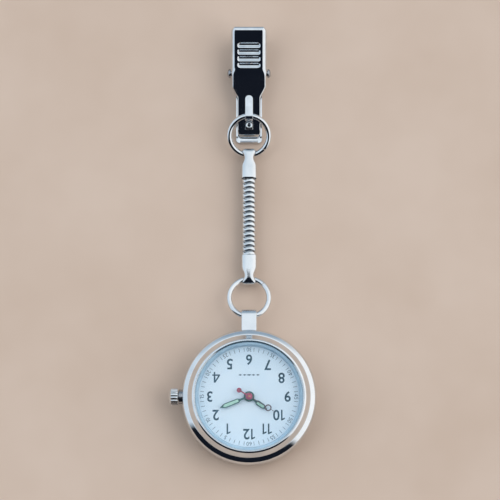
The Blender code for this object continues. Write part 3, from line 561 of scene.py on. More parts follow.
def hang(
    obj: bpy.types.Object, body: str, finish: Finish, slot: str, *nodes: str, smooth: float = 35.0
) -> bpy.types.Object:
    """Dresses a piece, hangs it on its body and hides the CAD nodes it stands for.

    Args:
        obj: The finished mesh.
        body: The CAD body it moves with.
        finish: Its surface.
        slot: The record's material slot. Not used.
        *nodes: CAD nodes that it replaces.
        smooth: Edges sharper than this many degrees stay crisp.

    Returns:
        The piece.
    """
    only(obj)
    bpy.ops.object.shade_smooth_by_angle(angle=math.radians(smooth))
    apply(obj, "WEIGHTED_NORMAL", keep_sharp=True)
    obj.data.materials.clear()
    obj.data.materials.append(finish.material())
    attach(obj, body)
    if nodes:
        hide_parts(*nodes)
    log.info("%s rides on %s", obj.name, body)
    return obj


# ------------------------------------------------------------------ watch case


@dataclass
class WatchCase:
    """The case middle, lug, bezel, crystal, gasket ring and back."""

    widest: float = 14.1
    widest_z: float = 3.9
    shoulder: float = 12.3
    seat: float = 12.57
    lug_hole: Point2 = (16.85, 3.6)
    lug_radius: float = 1.45
    lug_half_width: float = 1.6

    def build(self) -> None:
        """Models every piece of the case."""
        self.middle()
        self.lug()
        self.bezel()
        self.glass()
        self.back()

    def middle(self) -> None:
        """Turns the barrel-shaped case middle and bores it for the crown tube."""
        bulge = self.widest - self.shoulder
        side = arc((self.shoulder, self.widest_z), (bulge, 3.35), -78, 0, 20)
        top = arc((self.widest - 0.6, self.widest_z), (0.6, 2.0), 6, 66, 14)
        top += [(13.6, 5.86), (13.4, 6.03), (13.15, 6.2), (12.95, 6.31), (12.76, 6.39), (12.7, 6.38)]
        inside = [(self.seat + 0.05, 6.3), (self.seat + 0.05, 5.45), (11.85, 5.45), (11.85, 1.25)]
        inside += [(12.35, 1.25), (12.35, side[0][1])]
        shell = turned("case_middle", side + top + inside, 192)
        shaped(shell, rod("tube_bore", 1.0, 6.0, (-13.5, 0.0, 4.2), Axis.X), "DIFFERENCE")
        hang(shell, "watch_case", CHROME, "polished_chrome", "case_body")

    def lug(self) -> None:
        """Presses the pendant lug and bores it for the ring."""
        y, z = self.lug_hole
        nose = arc((y, z), (self.lug_radius, self.lug_radius), -90, 90, 25)
        outline = [(13.2, z - self.lug_radius), *nose, (13.2, z + self.lug_radius)]
        half = self.lug_half_width
        block = pressed("pendant_lug", outline, -half, half, 0.0, True)
        shaped(block, rod("ring_bore", 1.0, 6.0, (0.0, y, z), Axis.X), "DIFFERENCE")
        round_edges(block, 0.22)
        hang(block, "watch_case", CHROME, "polished_chrome")

    def bezel(self) -> None:
        """Turns the stepped bezel: a rounded crown line, a fine groove and a polished inner slope."""
        flank = [(12.7, 6.32), (12.74, 6.4), (12.68, 6.46), (12.27, 6.98)]
        crown_line = arc((11.477, 7.169), (0.5, 0.5), 40, 91, 18)
        inner = [(11.455, 7.62), (11.45, 7.3), (11.45, 6.86), (11.22, 6.82)]
        inner += [(11.22, 5.5), (12.52, 5.5), (12.52, 6.32)]
        ring = turned("stepped_bezel", flank + crown_line + inner, 192)
        hang(ring, "watch_case", CHROME, "polished_chrome", "bezel")

    def glass(self) -> None:
        """Turns the crystal with a bevelled rim, and the white ring that holds it over the dial."""
        dome = [(0.0, 7.8), (3.0, 7.795), (6.0, 7.76), (9.0, 7.7), (10.83, 7.62), (10.88, 7.6)]
        dome += [(11.36, 7.32), (11.4, 7.28), (11.4, 6.9), (11.37, 6.87), (0.0, 6.87)]
        crystal = turned("domed_crystal", dome, 160)
        hang(crystal, "watch_case", MINERAL_GLASS, "mineral_glass", "crystal", smooth=22.0)
        seal = turned("crystal_seal", [(11.45, 6.87), (11.45, 7.3), (11.66, 7.34), (11.66, 6.87)], 160)
        hang(seal, "watch_case", NYLON, "nylon", "crystal_gasket")
        slope = [(10.45, 5.25), (10.48, 5.4), (10.72, 6.78), (10.78, 6.82), (11.17, 6.82), (11.17, 5.25)]
        ring = turned("dial_surround", slope, 160)
        # The surround's grey-blue is painted shade and reflection; the ring itself is white.
        hang(ring, "watch_case", RING_PLASTIC_WITH_PAINTED_SHADE, "dial_ring_plastic", "dial_ring")

    def back(self) -> None:
        """Turns the snap back with its turned rings, and cuts the notch that it is opened by."""
        face = [(0.0, 0.06), (7.5, 0.06), (7.6, 0.0), (8.6, 0.0), (8.7, 0.08)]
        face += [(8.9, 0.08), (9.0, 0.0), (11.6, 0.0)]
        edge = arc((11.8, 0.5), (0.5, 0.5), -90, 0, 8)
        inner = [(12.3, 1.2), (11.95, 1.2), (11.95, 0.75), (11.55, 0.75)]
        inner += [(11.55, 1.3), (11.3, 1.3), (11.3, 0.7)]
        back = turned("snap_back", face + edge + inner + [(0.0, 0.7)], 160)
        notch = pressed("notch", [(-1.2, -12.6), (1.2, -12.6), (0.9, -11.9), (-0.9, -11.9)], -0.5, 0.35)
        shaped(back, notch, "DIFFERENCE")
        hang(back, "watch_case", BRUSHED_STEEL, "steel", "case_back")


@dataclass
class Dial:
    """The dial, its printing and the three hands."""

    top: float = 5.2
    radius: float = 11.6
    numeral_height: float = 2.2
    figure_height: float = 0.82
    figure_radius: float = 9.78
    tick_inner: float = 9.37
    tick_outer: float = 10.17
    numerals: tuple[Point2, ...] = (
        (-4.25, -6.7), (-6.9, -3.85), (-8.15, 0.0), (-6.85, 4.0), (-4.0, 6.76), (0.0, 7.65),
        (3.85, 6.6), (6.75, 3.87), (8.0, 0.0), (6.2, -3.85), (3.75, -6.7), (0.0, -7.8),
    )
    gap: float = 0.14
    narrow: float = 0.94
    flat: float = 0.01
    weight: float = 0.018
    tick_half: float = 0.045
    ornament_y: float = 4.5
    ornament_half: float = 0.17
    ornament_pitch: float = 0.92
    drawn: dict[str, tuple[Point2, ...]] = field(
        default_factory=lambda: {
            "1": ((0.21, 0.0), (0.35, 0.0), (0.35, 1.0), (0.26, 1.0), (0.0, 0.86), (0.0, 0.73), (0.21, 0.82)),
            "4": (
                (0.42, 0.0), (0.56, 0.0), (0.56, 0.23), (0.7, 0.23), (0.7, 0.35), (0.56, 0.35),
                (0.56, 1.0), (0.4, 1.0), (0.0, 0.36), (0.0, 0.23), (0.42, 0.23),
            ),
        }
    )
    counter: tuple[Point2, ...] = ((0.15, 0.36), (0.42, 0.36), (0.42, 0.78))

    def build(self) -> None:
        """Models the dial and prints it."""
        profile = [(1.0, 4.85), (1.0, self.top), (self.radius, self.top), (self.radius, 4.85)]
        hang(turned("enamelled_dial", profile, 128), "watch_case", DIAL_ENAMEL, "dial_paint", "dial")
        self.print_numerals()
        self.print_figures()
        self.print_ticks()
        self.print_ornament()

    def digit(self, figure: str, weight: float) -> bpy.types.Object:
        """Draws one digit, a unit high, standing on the X axis with its left side at zero.

        Args:
            figure: The digit.
            weight: How much its strokes are thickened, as a share of the font size.

        Returns:
            The digit as a thin mesh, its faces at equal heights below and above zero.
        """
        if figure in self.drawn:
            stroke = 0.5 * weight
            outline = [(x + (stroke if x > 0.2 else -stroke), y) for x, y in self.drawn[figure]]
            obj = pressed("digit", outline, -self.flat, self.flat)
            if figure == "4":
                shaped(obj, pressed("counter", self.counter, -5 * self.flat, 5 * self.flat), "DIFFERENCE")
            obj.data.transform(Matrix.Diagonal((1 / MM, 1 / MM, 1 / MM, 1.0)))
            return obj
        select_none()
        bpy.ops.object.text_add(location=(0, 0, 0))
        obj = bpy.context.object
        obj.data.body = figure
        obj.data.offset = weight
        obj.data.extrude = self.flat
        obj.data.resolution_u = 6
        bpy.ops.object.convert(target="MESH")
        obj = bpy.context.object
        xs, ys = [v.co.x for v in obj.data.vertices], [v.co.y for v in obj.data.vertices]
        tall = 1 / (max(ys) - min(ys))
        size = Matrix.Diagonal((self.narrow * tall, tall, 1.0, 1.0))
        obj.data.transform(size @ Matrix.Translation((-min(xs), -min(ys), 0)))
        return obj

    def written(self, text: str, height: float, place: Point2, turn: float, weight: float) -> bpy.types.Object:
        """Writes a number on the dial.

        Args:
            text: Its digits.
            height: Their height in millimetres.
            place: The middle of the number.
            turn: Its angle in radians, zero reading upright along +Y.
            weight: How much the strokes are thickened, as a share of the font size.

        Returns:
            The number as a thin mesh.
        """
        made, right = [], 0.0
        for figure in text:
            obj = self.digit(figure, weight)
            obj.data.transform(Matrix.Translation((right, 0, 0)))
            right = max(v.co.x for v in obj.data.vertices) + self.gap
            made.append(obj)
        number = gathered("number", made)
        scale = height * MM
        size = Matrix.Diagonal((scale, scale, PRINT_LIFT * MM / (2 * self.flat), 1.0))
        shift = Matrix.Translation((-(right - self.gap) / 2, -0.5, 0))
        upright = Matrix.Rotation(turn, 4, "Z") @ size @ shift
        return lay(number, upright, (*place, self.top + PRINT_LIFT / 2))

    def print_numerals(self) -> None:
        """Prints the hours, upright for the wearer."""
        made = [
            self.written(str(i + 1), self.numeral_height, place, math.pi, self.weight)
            for i, place in enumerate(self.numerals)
        ]
        hang(gathered("hour_numerals", made), "watch_case", SLATE_INK, "dial_paint")

    def print_figures(self) -> None:
        """Prints the minute figures round the track, each the right way up for the wearer."""
        made = []
        for minute in range(5, 65, 5):
            angle = math.radians(-90 - 6 * minute)
            inward = 15 < minute < 45
            turn = angle + (math.pi / 2 if inward else -math.pi / 2)
            place = polar(self.figure_radius, angle)
            made.append(self.written(str(minute), self.figure_height, place, turn, 0.0))
        hang(gathered("minute_figures", made), "watch_case", GREY_INK, "dial_paint")

    def print_ticks(self) -> None:
        """Prints a tick at every minute that has no figure."""
        near, far, half = self.tick_inner, self.tick_outer, self.tick_half
        outline = [(near, -half), (far, -half), (far, half), (near, half)]
        first = pressed("minute_tick", outline, self.top, self.top + PRINT_LIFT)
        turns = [Matrix.Rotation(math.radians(-90 - 6 * m), 4, "Z") for m in range(60) if m % 5]
        made = [copied(first, turn, (0, 0, 0)) for turn in turns]
        bpy.data.objects.remove(first)
        hang(gathered("minute_ticks", made), "watch_case", GREY_INK, "dial_paint")

    def print_ornament(self) -> None:
        """Prints a plain row of lozenges between the centre and the six."""
        made = []
        for i in range(-2, 3):
            long, x, y = (0.62 if i == 0 else 0.4), i * self.ornament_pitch, self.ornament_y
            outline = [(x - long, y), (x, y - self.ornament_half), (x + long, y), (x, y + self.ornament_half)]
            made.append(pressed("lozenge", outline, self.top, self.top + PRINT_LIFT))
        hang(gathered("dial_ornament", made), "watch_case", GREY_INK, "dial_paint")


@dataclass
class Hands:
    """Hour, minute and second hands, set at the time the CAD shows."""

    hour: float = 10.19
    minute: float = 11.4
    second: float = 50.2
    neck: float = 0.2
    sheet: float = 0.12
    frame: float = 0.17
    soften: float = 0.03

    def build(self) -> None:
        """Models the three hands."""
        self.pointer("hour", "hours", self.hour / 12, 1.1, 5.5, (1.55, 2.2, 3.6, 4.6), 0.5)
        self.pointer("minute", "minutes", self.minute / 60, 0.85, 5.9, (1.9, 2.5, 5.4, 6.5), 0.48)
        self.sweep()

    @staticmethod
    def heading(turns: float) -> float:
        """The direction in radians of a hand that share of a turn past twelve, which is at -Y."""
        return -math.pi / 2 - FULL_TURN * turns

    def pointer(
        self,
        label: str,
        body: str,
        turns: float,
        hub: float,
        low: float,
        stations: Sequence[float],
        half: float,
    ) -> None:
        """Models a hand with a hub, a neck and a blade that frames a strip of luminous paste.

        Args:
            label: Hour or minute.
            body: The CAD body it turns with.
            turns: How far past twelve it points, in turns.
            hub: Radius of its hub.
            low: Height of its underside.
            stations: Where the blade starts, is full, begins to taper and ends, along the hand.
            half: Half the blade's width.
        """
        start, full, taper, tip = stations
        turn = Matrix.Rotation(self.heading(turns), 4, "Z")
        spread = math.degrees(math.asin(self.neck / hub))
        round_hub = arc((0, 0), (hub, hub), spread, 360 - spread, 40)
        lower = [(start, -self.neck), (full, -half), (taper, -half), (tip - 0.1, -0.07), (tip, 0.0)]
        outline = round_hub + lower + [(x, -y) for x, y in reversed(lower[:-1])]
        frame = pressed(f"{label}_hand_frame", outline, low, low + self.sheet, self.soften)
        edge = half - self.frame
        inset = [(full - 0.1, -edge + 0.04), (taper - 0.05, -edge), (tip - 0.75, -0.04)]
        strip = inset + [(x, -y) for x, y in reversed(inset)]
        paste = pressed(f"{label}_hand_lume", strip, low + 0.05, low + 0.16, self.soften)
        lay(frame, turn)
        lay(paste, turn)
        hang(frame, body, GREEN_LACQUER, "hand_green", f"{label}_hand")
        hang(paste, body, LUME, "hand_green")

    def sweep(self) -> None:
        """Models the second hand: needle, open eye, hub and round counterweight."""
        low, high = 6.25, 6.35
        middle = (low + high) / 2
        reach, tail, hub = 4.63, -2.4, 0.72
        forward = [(0.3, -0.1), (1.0, -0.09), (6.4, -0.04), (6.4, 0.04), (1.0, 0.09), (0.3, 0.1)]
        needle = pressed("sweep_needle", forward, low, high)
        shaped(needle, rod("eye_disc", 0.7, high - low, (reach, 0.0, middle)), "UNION")
        shaped(needle, rod("eye_window", 0.46, 1.0, (reach, 0.0, middle)), "DIFFERENCE")
        backward = [(tail, -0.13), (0.0, -0.13), (0.0, 0.13), (tail, 0.13)]
        poise = pressed("sweep_hand", backward, low, high)
        for label, radius, x in (("poise_disc", 0.52, tail), ("hub", hub, 0.0)):
            shaped(poise, rod(label, radius, high - low, (x, 0.0, middle)), "UNION")
        shaped(poise, rod("poise_dimple", 0.2, 0.08, (tail, 0.0, high)), "DIFFERENCE")
        shaped(needle, rod("hub_seat", hub, 1.0, (0.0, 0.0, middle)), "DIFFERENCE")
        boss = turned("sweep_boss", [(0.0, 6.3), (0.52, 6.3), (0.5, 6.44), (0.3, 6.52), (0.0, 6.54)], 40)
        turn = Matrix.Rotation(self.heading(self.second / 60), 4, "Z")
        lay(needle, turn)
        lay(poise, turn)
        hang(poise, "seconds", RED_LACQUER, "hand_red", "second_hand")
        hang(needle, "seconds", BRONZED, "hand_red")
        hang(boss, "seconds", RED_LACQUER, "hand_red")


@dataclass
class Crown:
    """The fluted crown and the neck it turns on."""

    axis_z: float = 4.2
    face_x: float = -16.7
    base_x: float = -14.8
    radius: float = 1.78
    flutes: int = 15
    corners_per_flute: int = 8
    flute_depth: float = 0.17

    def build(self) -> None:
        """Models the crown with rounded flutes and a domed face, and the collar behind it."""
        outline = []
        corners = self.flutes * self.corners_per_flute
        for i in range(corners):
            angle = FULL_TURN * i / corners
            dip = self.flute_depth * (0.5 - 0.5 * math.cos(self.flutes * angle)) ** 3
            outline.append(polar(self.radius - dip, angle))
        length = self.base_x - self.face_x
        fluted = pressed("fluted_crown", outline, 0.45, length)
        cap = [(0.0, 0.0), (0.5, 0.02), (1.0, 0.12), (1.35, 0.28)]
        cap += [(1.55, 0.46), (1.58, 0.52), (0.0, 0.52)]
        shaped(fluted, turned("crown_cap", cap, 64), "UNION")
        shaped(fluted, rod("crown_recess", 1.3, 1.2, (0.0, 0.0, length)), "DIFFERENCE")
        round_edges(fluted, 0.06, 2, 50.0)
        lay(fluted, Axis.X.value, (self.face_x, 0.0, self.axis_z))
        hang(fluted, "crown_and_stem", CHROME, "polished_chrome", "crown")
        section = [(1.0, -14.62), (1.42, -14.62), (1.5, -14.54), (1.5, -13.7), (1.0, -13.7)]
        section = [(radius, -x) for radius, x in section]
        collar = turned("crown_collar", section, 48, Axis.MINUS_X, (0.0, 0.0, self.axis_z))
        hang(collar, "watch_case", STEEL, "steel")


# ------------------------------------------------------------------ rings and chain


@dataclass
class Chain:
    """Two jump rings, two crimped ends and the snake chain between them."""

    ring_radius: float = 4.15
    wire: float = 0.55
    level: float = 1.8
    lug: Point2 = (16.85, 3.6)
    hook: Point2 = (59.2, 4.1)
    links: int = 16
    wave: float = 0.08
    shoulder_wave: float = 0.16
    twist: float = 0.37
    flatness: float = 0.55
    squareness: float = 0.8
    link_gap: float = 0.12
    seam_half: float = 0.05

    def build(self) -> None:
        """Models the whole chain."""
        low_eye = self.lug[0] + self.reach(self.lug[1])
        high_eye = self.hook[0] - self.reach(self.hook[1])
        self.ring("lower_jump_ring", "lower_ring", self.lug, (low_eye, self.level), 45.0)
        self.ring("upper_jump_ring", "upper_ring", (high_eye, self.level), self.hook, -42.0)
        self.ferrule("lower", low_eye, Axis.Y)
        self.ferrule("upper", high_eye, Axis.MINUS_Y)
        self.snake()

    def reach(self, height: float) -> float:
        """How far along Y a ring spans when one side is at height and the other at the chain's level."""
        rise = (height - self.level) / (2 * self.ring_radius)
        return 2 * self.ring_radius * math.cos(math.asin(rise))

    def ring(self, name: str, body: str, near: Point2, far: Point2, seam: float) -> None:
        """Bends a jump ring from round wire, with the cut where it was closed.

        Args:
            name: The piece's name.
            body: Its CAD body and node.
            near: (y, z) of the wire's middle at its lower end.
            far: The same at its upper end.
            seam: Angle of the cut in degrees.
        """
        select_none()
        bpy.ops.mesh.primitive_torus_add(
            major_radius=self.ring_radius * MM,
            minor_radius=self.wire * MM,
            major_segments=128,
            minor_segments=28,
        )
        obj = bpy.context.object
        obj.name = obj.data.name = name
        half = self.seam_half
        saw = pressed("saw", [(3.0, -half), (5.5, -half), (5.5, half), (3.0, half)], -1.0, 1.0)
        lay(saw, Matrix.Rotation(math.radians(seam), 4, "Z"))
        shaped(obj, saw, "DIFFERENCE")
        tilt = Matrix.Rotation(math.atan2(far[1] - near[1], far[0] - near[0]), 4, "X")
        lay(obj, tilt, (0.0, (near[0] + far[0]) / 2, (near[1] + far[1]) / 2))
        hang(obj, body, CHROME, "polished_chrome", body)

    def ferrule(self, label: str, eye: float, axis: Axis) -> None:
        """Draws a crimped end out of tube: cup, flattened waist and folded eye.

        Args:
            label: Lower or upper.
            eye: Y of the eye's bore.
            axis: Which way the cup opens.
        """
        rings = [(-1.34, 0.9, 0.3), (-1.28, 1.25, 0.75), (-1.1, 1.42, 1.1), (-0.75, 1.48, 1.32)]
        rings += [(-0.3, 1.38, 1.42), (0.1, 1.2, 1.47), (0.5, 1.08, 1.5), (0.9, 1.1, 1.54)]
        rings += [(1.3, 1.24, 1.57), (1.65, 1.42, 1.6), (1.95, 1.55, 1.62), (2.4, 1.65, 1.66)]
        rings += [(4.8, 1.67, 1.67), (4.93, 1.65, 1.65), (5.0, 1.6, 1.6)]
        rings += [(4.96, 1.54, 1.54), (4.4, 1.54, 1.54)]
        y, wide, high = rings[0]
        sides = 64
        flattened = [
            (squared(c, self.flatness), squared(s, self.flatness))
            for c, s in arc((0, 0), (1, 1), 0, 360 - 360 / sides, sides)
        ]
        obj = loop(f"{label}_crimped_end", [(wide * c, high * s, y) for c, s in flattened])
        edit()
        for next_y, next_wide, next_high in rings[1:]:
            bpy.ops.mesh.extrude_region_move(TRANSFORM_OT_translate={"value": (0, 0, (next_y - y) * MM)})
            scale = (next_wide / wide, next_high / high, 1.0)
            bpy.ops.transform.resize(value=scale, center_override=(0, 0, next_y * MM))
            y, wide, high = next_y, next_wide, next_high
        bpy.ops.mesh.select_all(action="SELECT")
        bpy.ops.mesh.fill_holes(sides=0)
        close_outwards()
        shaped(obj, rod("eye_bore", 0.9, 6.0, (0.0, 0.0, 0.0), Axis.X), "DIFFERENCE")
        lay(obj, axis.value, (0.0, eye, self.level))
        hang(obj, f"{label}_ferrule", CHROME, "polished_chrome", f"{label}_ferrule", smooth=40.0)

    def snake(self) -> None:
        """Turns one waved cup and copies it down the chain."""
        outer = [(1.34, -0.02), (1.4, 0.02), (1.46, 0.13), (1.5, 0.3), (1.5, 0.57), (1.47, 0.66)]
        outer += [(1.4, 0.71), (1.2, 0.74), (1.1, 0.79), (1.06, 1.17), (1.02, 1.2)]
        inner = [(0.92, 1.2), (0.98, 0.86), (1.1, 0.66), (1.24, 0.48), (1.29, 0.2), (1.3, 0.0)]
        cup = turned("waved_cup", outer + inner, 64)
        for vertex in cup.data.vertices:
            around = math.atan2(vertex.co.y, vertex.co.x)
            swing = self.wave + (self.shoulder_wave - self.wave) * ease(0.2, 0.7, vertex.co.z / MM)
            vertex.co.z += swing * MM * math.cos(4 * (around - self.twist))
            across, up = math.cos(around), math.sin(around)
            radius = math.hypot(vertex.co.x, vertex.co.y)
            vertex.co.x = radius * squared(across, self.squareness)
            vertex.co.y = radius * squared(up, self.squareness)
        for i in range(1, self.links + 1):
            node = f"chain_link_{i:02d}"
            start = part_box(node)[0].y / MM + self.link_gap
            link = copied(cup, Axis.Y.value, (0.0, start, self.level))
            link.name = link.data.name = f"snake_link_{i:02d}"
            hang(link, f"link_{i:02d}", CHROME, "polished_chrome", node, smooth=50.0)
        bpy.data.objects.remove(cup)


# ------------------------------------------------------------------ clip


@dataclass
class Clip:
    """The alligator clip: lever with its thumb pad, base, hook, rivet and pin."""

    pin: Point2 = (68.6, 2.5)
    pin_radius: float = 0.6
    pin_play: float = 0.05
    rivet_radius: float = 0.3
    sheet: float = 0.42
    tip_y: float = 55.0
    end_y: float = 77.9
    corner: float = 1.15
    rivet_y: float = 57.35
    pad_middle: Point2 = (0.0, 72.01)
    pad_half: Point2 = (2.36, 2.76)
    ridge_first: float = 69.28
    ridge_pitch: float = 1.365
    ridge_depth: float = 0.42
    tooth_depth: float = 0.14
    hook_half: float = 0.8
    hook_sheet: float = 0.38
    height: tuple[Point2, ...] = (
        (55.0, 0.9), (55.15, 1.75), (55.6, 2.45), (56.4, 2.8), (57.5, 2.96), (68.0, 4.62),
        (69.0, 4.86), (77.9, 7.55),
    )
    width: tuple[Point2, ...] = (
        (55.0, 1.5), (55.15, 1.9), (55.6, 2.25), (56.4, 2.4), (63.4, 2.42), (65.4, 3.5), (67.6, 3.5),
        (68.6, 3.75),
    )
    depth: tuple[Point2, ...] = (
        (55.0, 0.3), (56.4, 0.7), (63.0, 0.9), (66.6, 2.9), (70.4, 2.9), (72.0, 1.5), (77.9, 1.2),
    )

    def build(self) -> None:
        """Models the clip."""
        self.lever()
        self.base()
        self.hook()
        self.rivet()
        self.hinge_pin()

    def half_width(self, y: float) -> float:
        """Half the lever's width at y, with its rounded thumb end."""
        past = y - (self.end_y - self.corner)
        wide = follow(self.width, y)
        return wide if past <= 0 else wide - self.corner + math.sqrt(max(0.0, self.corner**2 - past**2))

    def top(self, x: float, y: float) -> float:
        """Height of the lever's outer face, with its folded edges and the ridged pad.

        Args:
            x: Place across the lever.
            y: Place along it.

        Returns:
            The height in millimetres.
        """
        fold = 0.18 + 0.92 * ease(67.6, 69.4, y)
        inside = min(self.half_width(y) - abs(x), self.end_y - y if y > 74 else 9.0)
        drop = fold - math.sqrt(max(0.0, fold**2 - (fold - inside) ** 2)) if inside < fold else 0.0
        across = self.pad_half[0] - abs(x - self.pad_middle[0])
        along = self.pad_half[1] - abs(y - self.pad_middle[1])
        corner = 0.7
        reach = corner - math.hypot(max(0.0, corner - across), max(0.0, corner - along))
        pad = ease(0.0, 0.3, reach)
        trough = 0.5 - 0.5 * math.cos(FULL_TURN * (y - self.ridge_first) / self.ridge_pitch)
        return follow(self.height, y) - drop - self.ridge_depth * pad * trough

    def rows(self) -> list[float]:
        """Places along the lever, close together where it bends most."""
        made = [55.0 + 2.0 * (i / 26) for i in range(26)]
        made += [57.0 + 12.0 * i / 44 for i in range(44)]
        made += [69.0 + 6.0 * i / 96 for i in range(96)]
        made += [75.0 + 1.9 * i / 12 for i in range(12)]
        return made + [self.end_y - 1.0 * (1 - i / 20) ** 1.8 for i in range(21)]

    def lever(self) -> None:
        """Presses the lever from one sheet: toothed jaw, folded flanks, bend and ridged pad."""
        rows = self.rows()
        select_none()
        bpy.ops.mesh.primitive_grid_add(x_subdivisions=60, y_subdivisions=len(rows) - 1, size=2.0)
        obj = bpy.context.object
        obj.name = obj.data.name = "thumb_lever"
        for vertex in obj.data.vertices:
            y = rows[round((vertex.co.y + 1) / 2 * (len(rows) - 1))]
            share = 1 - (1 - min(1.0, abs(vertex.co.x))) ** 1.6
            x = math.copysign(share * self.half_width(y), vertex.co.x)
            vertex.co = Vector((x, y, self.top(x, y))) * MM
        edit()
        bpy.ops.mesh.select_all(action="DESELECT")
        bpy.ops.mesh.select_non_manifold(
            extend=False, use_wire=False, use_multi_face=False, use_non_contiguous=False, use_verts=False
        )
        bpy.ops.mesh.extrude_region_move(TRANSFORM_OT_translate={"value": (0, 0, -0.1 * MM)})
        close()
        for vertex in obj.data.vertices:
            if vertex.select:
                y = vertex.co.y / MM
                fade = 1 - ease(self.tip_y, self.tip_y + 0.6, y)
                tooth = self.tooth_depth * math.cos(vertex.co.x / MM * 7.0) * fade
                vertex.co.z = (follow(self.height, y) - follow(self.depth, y) + tooth) * MM
        apply(obj, "SOLIDIFY", thickness=self.sheet * MM, offset=-1.0, use_quality_normals=True)
        y, z = self.pin
        shaped(obj, rod("pin_bore", self.pin_radius + self.pin_play, 12.0, (0.0, y, z), Axis.X), "DIFFERENCE")
        shaped(obj, rod("rivet_bore", self.rivet_radius, 3.0, (0.0, self.rivet_y, 3.0)), "DIFFERENCE")
        hang(obj, "clip_front", CLIP_CHROME, "polished_chrome", "clip_lever", smooth=45.0)

    def base(self) -> None:
        """Presses the base: plate, upturned lip, jaw walls and the two ears that hold the pin."""
        tip = arc((-1.95, 54.8), (0.8, 0.8), 180, 270, 8) + arc((1.95, 54.8), (0.8, 0.8), 270, 360, 8)
        end = arc((2.2, 76.6), (0.8, 0.8), 0, 90, 8) + arc((-2.2, 76.6), (0.8, 0.8), 90, 180, 8)
        outline = tip + [(2.75, 64.0), (3.0, 66.0)] + end + [(-3.0, 66.0), (-2.75, 64.0)]
        plate = pressed("clip_plate", outline, 0.0, 0.5, 0.1)
        lip = [(54.0, 0.25), (54.02, 0.9), (54.12, 1.08), (54.3, 1.1), (54.45, 0.95), (54.55, 0.25)]
        shaped(plate, pressed("jaw_lip", lip, -1.9, 1.9, 0.1, True), "UNION")
        y, z = self.pin
        ear_top = arc((y, z), (1.25, 1.25), 170, 10, 20)
        ear = [(64.6, 0.2), (65.0, 1.4), *ear_top, (71.2, 1.3), (76.0, 0.9), (76.4, 0.2)]
        wall = [(55.0, 0.2), (55.3, 1.2), (65.5, 1.2), (65.5, 0.2)]
        for side in (-1, 1):
            for label, shape, inner, outer in (("ear", ear, 2.55, 2.98), ("jaw_wall", wall, 2.3, 2.74)):
                low, high = sorted((side * inner, side * outer))
                shaped(plate, pressed(f"{label}_{side + 1}", shape, low, high, 0.05, True), "UNION")
        shaped(plate, rod("ear_bore", self.pin_radius + self.pin_play, 12.0, (0.0, y, z), Axis.X), "DIFFERENCE")
        hang(plate, "clip_back", CLIP_CHROME, "polished_chrome", "clip_base")

    def hook(self) -> None:
        """Bends the strip that holds the ring, round at its free end."""
        path = [(56.45, 3.14), (57.95, 3.38), (58.17, 3.6), (58.25, 4.55)]
        path += [(58.55, 4.95), (59.2, 5.08), (61.2, 5.16), (63.45, 5.05)]
        outer, inner = [], []
        for i, (y, z) in enumerate(path):
            before, after = path[max(0, i - 1)], path[min(len(path) - 1, i + 1)]
            along = Vector(after) - Vector(before)
            lean = Vector((-along.y, along.x)).normalized() * self.hook_sheet / 2
            outer.append((y + lean.x, z + lean.y))
            inner.append((y - lean.x, z - lean.y))
        wide = self.hook_half
        strip = pressed("ring_hook_strip", outer + inner[::-1], -wide, wide, 0.07, True)
        shaped(strip, rod("hook_bore", self.rivet_radius, 3.0, (0.0, self.rivet_y, 3.0)), "DIFFERENCE")
        end, beyond = path[-1][0] - wide, wide + 0.4
        for side in (-1, 1):
            far = side * beyond
            corner = [(side * wide, end), (far, end), (far, end + beyond), (0.0, end + beyond)]
            corner += [(side * x, y) for x, y in arc((0.0, end), (wide, wide), 90, 0, 12)][:-1]
            shaped(strip, pressed("corner", corner, 4.0, 6.0), "DIFFERENCE")
        hang(strip, "clip_front", CLIP_CHROME, "polished_chrome", "ring_hook")

    def rivet(self) -> None:
        """Turns the eyelet that fixes the strip to the jaw, rolled over at its rim."""
        rolled = arc((0.5, 0.02), (0.2, 0.16), -40, 200, 14)
        profile = rolled + [(0.25, -1.05), (0.29, -1.05), (0.29, -0.1)][::-1]
        eyelet = turned("hook_eyelet", profile, 40, Axis.Z, (0.0, self.rivet_y, 3.62))
        hang(eyelet, "clip_front", CLIP_CHROME, "polished_chrome", "hook_rivet", smooth=60.0)

    def hinge_pin(self) -> None:
        """Turns the pin with a domed head at each end."""
        half = 4.55
        head = [(0.0, half), *arc((0.3, half - 0.55), (0.66, 0.55), 90, 0, 12)]
        head += [(0.96, half - 0.62), (self.pin_radius, half - 0.7)]
        profile = head + [(r, -x) for r, x in reversed(head)]
        pin = turned("domed_hinge_pin", profile, 48, Axis.X, (0.0, *self.pin))
        hang(pin, "clip_back", STEEL, "steel", "hinge_pin")


# ------------------------------------------------------------------ movement


@dataclass
class Movement:
    """The sealed works and small parts, which keep their CAD shapes."""

    finishes: dict[Finish, tuple[str, ...]] = field(
        default_factory=lambda: {
            STEEL: (
                "crown_tube", "winding_stem", "setting_lever", "bridge_screw", "stator",
                "battery_clamp", "clip_spring",
            ),
            BRUSHED_STEEL: ("train_bridge", "quartz_can", "battery_cell"),
            GILT_BRASS: (
                "main_plate", "rotor", "step_wheel", "third_wheel", "seconds_wheel", "centre_wheel",
                "minute_wheel", "hour_wheel",
            ),
            NYLON: ("movement_holder",),
            BOARD: ("circuit_board",),
            COPPER_WIRE: ("motor_coil",),
            SEAL_RUBBER: ("back_gasket", "crown_seal"),
        }
    )

    def dress(self, nodes: dict[str, bpy.types.Object]) -> None:
        """Gives each kept CAD node its finish.

        Args:
            nodes: The frame's CAD nodes by name.
        """
        for finish, names in self.finishes.items():
            for name in names:
                nodes[name].data.materials.clear()
                nodes[name].data.materials.append(finish.material())
                log.info("%s keeps its CAD shape", name)


# ------------------------------------------------------------------ studio


